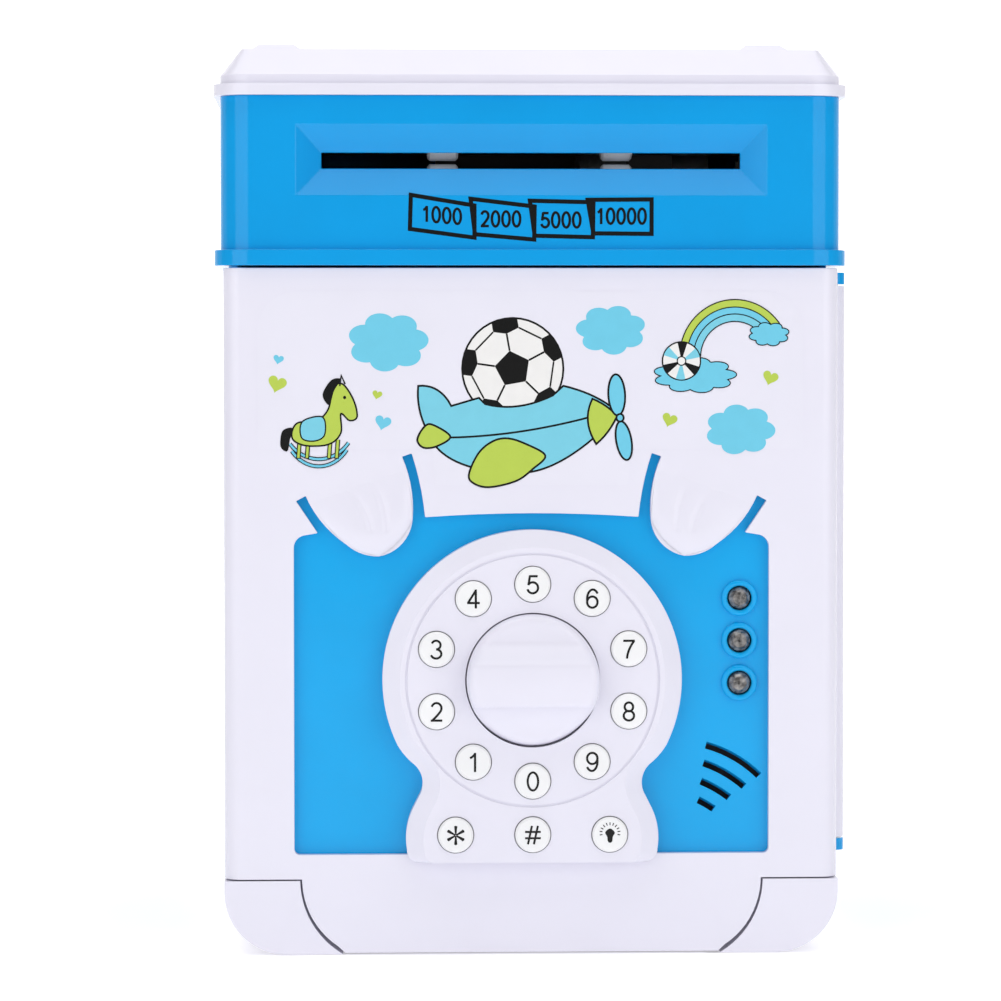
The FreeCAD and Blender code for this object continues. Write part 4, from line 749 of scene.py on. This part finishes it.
def figure_lines(sign):
    """The pen strokes of a plain figure, one unit tall, from its lower left corner."""
    eight_top = ellipse(0.33, 0.72, 0.215, 0.225)
    six_bowl = ellipse(0.335, 0.31, 0.265, 0.285)
    lines = {
        "0": [ellipse(0.335, 0.49, 0.265, 0.46) + [(0.6, 0.49)]],
        "1": [bezier((0.16, 0.71), (0.33, 0.78), (0.43, 0.95), 8), [(0.415, 0.98), (0.415, 0.0)]],
        "2": [ellipse(0.33, 0.69, 0.25, 0.26, start=165, end=-20, steps=20)
              + bezier((0.55, 0.56), (0.44, 0.36), (0.08, 0.03), 8),
              [(0.03, 0.055), (0.62, 0.055)]],
        "3": [ellipse(0.31, 0.72, 0.225, 0.225, start=160, end=-90, steps=20),
              ellipse(0.31, 0.27, 0.265, 0.235, start=90, end=-165, steps=20)],
        "4": [[(0.46, 0.0), (0.46, 0.97)], [(0.47, 0.93), (0.06, 0.28)],
              [(0.02, 0.28), (0.66, 0.28)]],
        "5": [[(0.17, 0.91), (0.58, 0.91)], [(0.19, 0.95), (0.11, 0.45)],
              ellipse(0.325, 0.32, 0.275, 0.28, start=145, end=-165, steps=24)],
        "6": [six_bowl + six_bowl[:1],
              ellipse(0.36, 0.47, 0.29, 0.48, start=195, end=35, steps=20)],
        "7": [[(0.04, 0.91), (0.63, 0.91)], bezier((0.60, 0.90), (0.28, 0.50), (0.23, 0.0))],
        "8": [eight_top + eight_top[:1], ellipse(0.33, 0.27, 0.265, 0.245) + [(0.595, 0.27)]]}
    if sign == "9":
        return [[(0.67 - x, 0.98 - z) for x, z in line] for line in lines["6"]]
    return lines[sign]


def figures(sheet, text, x, z, height, width, slope=0.0, narrow=1.0):
    """Plain upright figures centred on a point, rising to the right by a slope."""
    step = 0.77 * height * narrow
    left = x - step * (len(text) - 1) / 2
    for index, sign in enumerate(text):
        for line in figure_lines(sign):
            places = []
            for across, up in line:
                spot = left + index * step + (across - 0.335) * height * narrow
                places.append((spot, z + (up - 0.49) * height + slope * (spot - x)))
            sheet.line(INK_BLACK, places, width)


def key_centre(key):
    """The middle of a key's face, in millimetres."""
    low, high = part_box(key)
    return (low.x + high.x) / 2 / MM, (low.z + high.z) / 2 / MM


def key_symbols():
    """A figure on every key, a star and a hash, and a lamp with rays."""
    for digit in "0123456789":
        x, z = key_centre("key_" + digit)
        sheet = Sheet("figure_" + digit, "key_%s_cap" % digit, KEY_FACE - LIFT)
        figures(sheet, digit, x, z, 4.1, 0.47)
        sheet.finish()
    x, z = key_centre("key_hash")
    hash_sheet = Sheet("figure_hash", "key_hash_cap", KEY_FACE - LIFT)
    for side in (-1, 1):
        hash_sheet.line(INK_BLACK, [(x + side * 0.62 - 0.42, z - 1.95),
                                    (x + side * 0.62 + 0.42, z + 1.95)], 0.44)
        hash_sheet.line(INK_BLACK, [(x - 1.65, z + side * 0.66), (x + 1.65, z + side * 0.66)],
                        0.44)
    hash_sheet.finish()
    x, z = key_centre("key_star")
    star = Sheet("figure_star", "key_star_cap", KEY_FACE - LIFT)
    for turn in range(6):
        angle = math.radians(30 + 60 * turn)
        tip = Vector((math.cos(angle), math.sin(angle)))
        side = Vector((-tip.y, tip.x))
        corners = [tip * 0.1 + side * 0.14, tip * 1.9 + side * 0.34, tip * 2.05,
                   tip * 1.9 - side * 0.34, tip * 0.1 - side * 0.14]
        star.fill(INK_BLACK, [(x + spot.x, z + spot.y) for spot in corners])
    star.finish()
    x, z = key_centre("key_light")
    lamp = Sheet("figure_lamp", "key_light_cap", KEY_FACE - LIFT)
    bulb = smooth_through([(x - 1.0, z + 0.5), (x, z + 1.3), (x + 1.0, z + 0.5),
                           (x + 0.6, z - 0.4), (x + 0.45, z - 1.4), (x, z - 1.7),
                           (x - 0.45, z - 1.4), (x - 0.6, z - 0.4)])
    lamp.fill(INK_BLACK, bulb)
    for turn in range(11):
        angle = math.radians(-12 + 20.4 * turn)
        lamp.line(INK_BLACK, [polar(x, z + 0.4, reach, angle) for reach in (1.6, 2.2)], 0.2)
    lamp.finish()


def note_values():
    """Four overlapping leaning frames with plain numbers under the slot."""
    head = frame["nodes"]["head_housing"]
    face = min(vert.co.y for vert in head.data.vertices if vert.co.z > ABOVE_RIB)
    sheet = Sheet("note_frames", "case", face - LIFT)
    frames = (
        ("1000", (-18.9, 155.1), -0.08,
         (-25.3, 159.3), (-12.0, 157.1), (-12.0, 150.4), (-25.5, 152.2)),
        ("2000", (-6.5, 154.3), 0.0, (-12.8, 158.5), (0.6, 156.9), (0.5, 150.0), (-11.9, 151.1)),
        ("5000", (6.1, 154.1), 0.0, (-0.4, 158.1), (12.9, 157.8), (12.8, 150.5), (0.6, 150.8)),
        ("10000", (18.7, 154.9), 0.0, (11.7, 158.3), (25.1, 158.4), (25.1, 151.2), (12.9, 151.3)))
    for text, (x, z), slope, *corners in frames:
        sheet.line(INK_BLACK, corners, 0.88, True)
        figures(sheet, text, x, z, 3.4, 0.54, slope, 0.84)
    for before, after in zip(frames, frames[1:]):
        sheet.fill(INK_BLACK, [after[3], before[4], before[5]])
    sheet.finish()


# ---------------------------------------------------------------- room, light and camera

def stage():
    """A white floor that sweeps up behind the object."""
    mesh = bmesh.new()
    half, depth, rise, radius = 9.0, 2.4, 3.2, 0.8
    profile = [(-9.0, 0.0), (depth - radius, 0.0)]
    profile += [(depth - radius + radius * math.sin(math.radians(a)),
                 radius - radius * math.cos(math.radians(a))) for a in range(10, 91, 10)]
    profile.append((depth, rise))
    rows = [[mesh.verts.new((x, y, z - 0.0002)) for x in (-half, half)] for y, z in profile]
    for low, high in zip(rows, rows[1:]):
        mesh.faces.new((low[0], low[1], high[1], high[0]))
    data = bpy.data.meshes.new("sweep")
    mesh.to_mesh(data)
    mesh.free()
    data.polygons.foreach_set("use_smooth", [True] * len(data.polygons))
    floor = bpy.data.objects.new("sweep", data)
    bpy.context.scene.collection.objects.link(floor)
    material, tree, shader = new_material("paper_sweep")
    place = tree.nodes.new("ShaderNodeTexCoord")
    fibre = noise(tree, place, 30.0, 4.0)
    tree.links.new(ramp(tree, fibre.outputs["Fac"], (0.93, 0.93, 0.935), (0.955, 0.955, 0.955)),
                   shader.inputs["Base Color"])
    shader.inputs["Roughness"].default_value = 0.9
    shader.inputs["Emission Color"].default_value = (1.0, 1.0, 1.0, 1.0)
    shader.inputs["Emission Strength"].default_value = 0.29
    data.materials.append(material)


def softbox(name, place, target, width, height, radiance):
    """A soft panel of even brightness that the camera never sees directly."""
    light = bpy.data.lights.new(name, "AREA")
    light.shape = "RECTANGLE"
    light.size = width
    light.size_y = height
    light.energy = radiance * math.pi * width * height
    lamp = bpy.data.objects.new(name, light)
    lamp.location = place
    lamp.rotation_euler = (Vector(target) - Vector(place)).to_track_quat("-Z", "Y").to_euler()
    lamp.visible_camera = False
    bpy.context.scene.collection.objects.link(lamp)


def lights():
    """Two softboxes in front, one above, one for the backdrop, and a faint even sky."""
    middle = (0.0, -0.05, 0.1)
    for side, name in ((-1, "softbox_left"), (1, "softbox_right")):
        angle = math.radians(38) * side
        place = (1.2 * math.sin(angle), -0.05 - 1.2 * math.cos(angle), 0.52)
        softbox(name, place, middle, 1.15, 1.0, 1.30)
    softbox("softbox_top", (0.0, -0.1, 1.2), middle, 1.6, 1.2, 1.85)
    softbox("softbox_back", (0.0, 1.0, 1.6), (0.0, 2.4, 1.0), 2.5, 1.5, 2.5)
    world = bpy.data.worlds.new("studio")
    world.use_nodes = True
    world.node_tree.nodes["Background"].inputs["Color"].default_value = (0.98, 0.98, 1.0, 1.0)
    world.node_tree.nodes["Background"].inputs["Strength"].default_value = 0.16
    bpy.context.scene.world = world


def camera():
    """The photograph's view: nearly level, a little left of the middle, turned right."""
    data = bpy.data.cameras.new("camera")
    data.sensor_width = 36.0
    data.lens = 144.9
    data.clip_end = 20.0
    eye = bpy.data.objects.new("camera", data)
    eye.location = (-0.0375, -0.900, 0.1256)
    eye.rotation_euler = Euler((math.radians(90 - 2.05), math.radians(0.03),
                                math.radians(-2.1)), "XYZ")
    bpy.context.scene.collection.objects.link(eye)
    bpy.context.scene.camera = eye
    bpy.context.scene.view_settings.view_transform = "Standard"


# ---------------------------------------------------------------- assembly

dress_nodes()
door_front()
rounded("head_housing", "head_shell", "case_blue", 0.00025)
rounded("top_lid", "lid_shell", "shell_white", 0.0005)
rounded("base_tray", "base_tray_shell", "shell_white", 0.0003)
rounded("dial_housing", "dial_shell", "shell_white", 0.0003)
knob_front()
panel_front()
rounded("carry_handle", "carry_handle_bar", "shell_white", 0.0006)
label_film()
door_print()
key_symbols()
note_values()
stage()
lights()
camera()
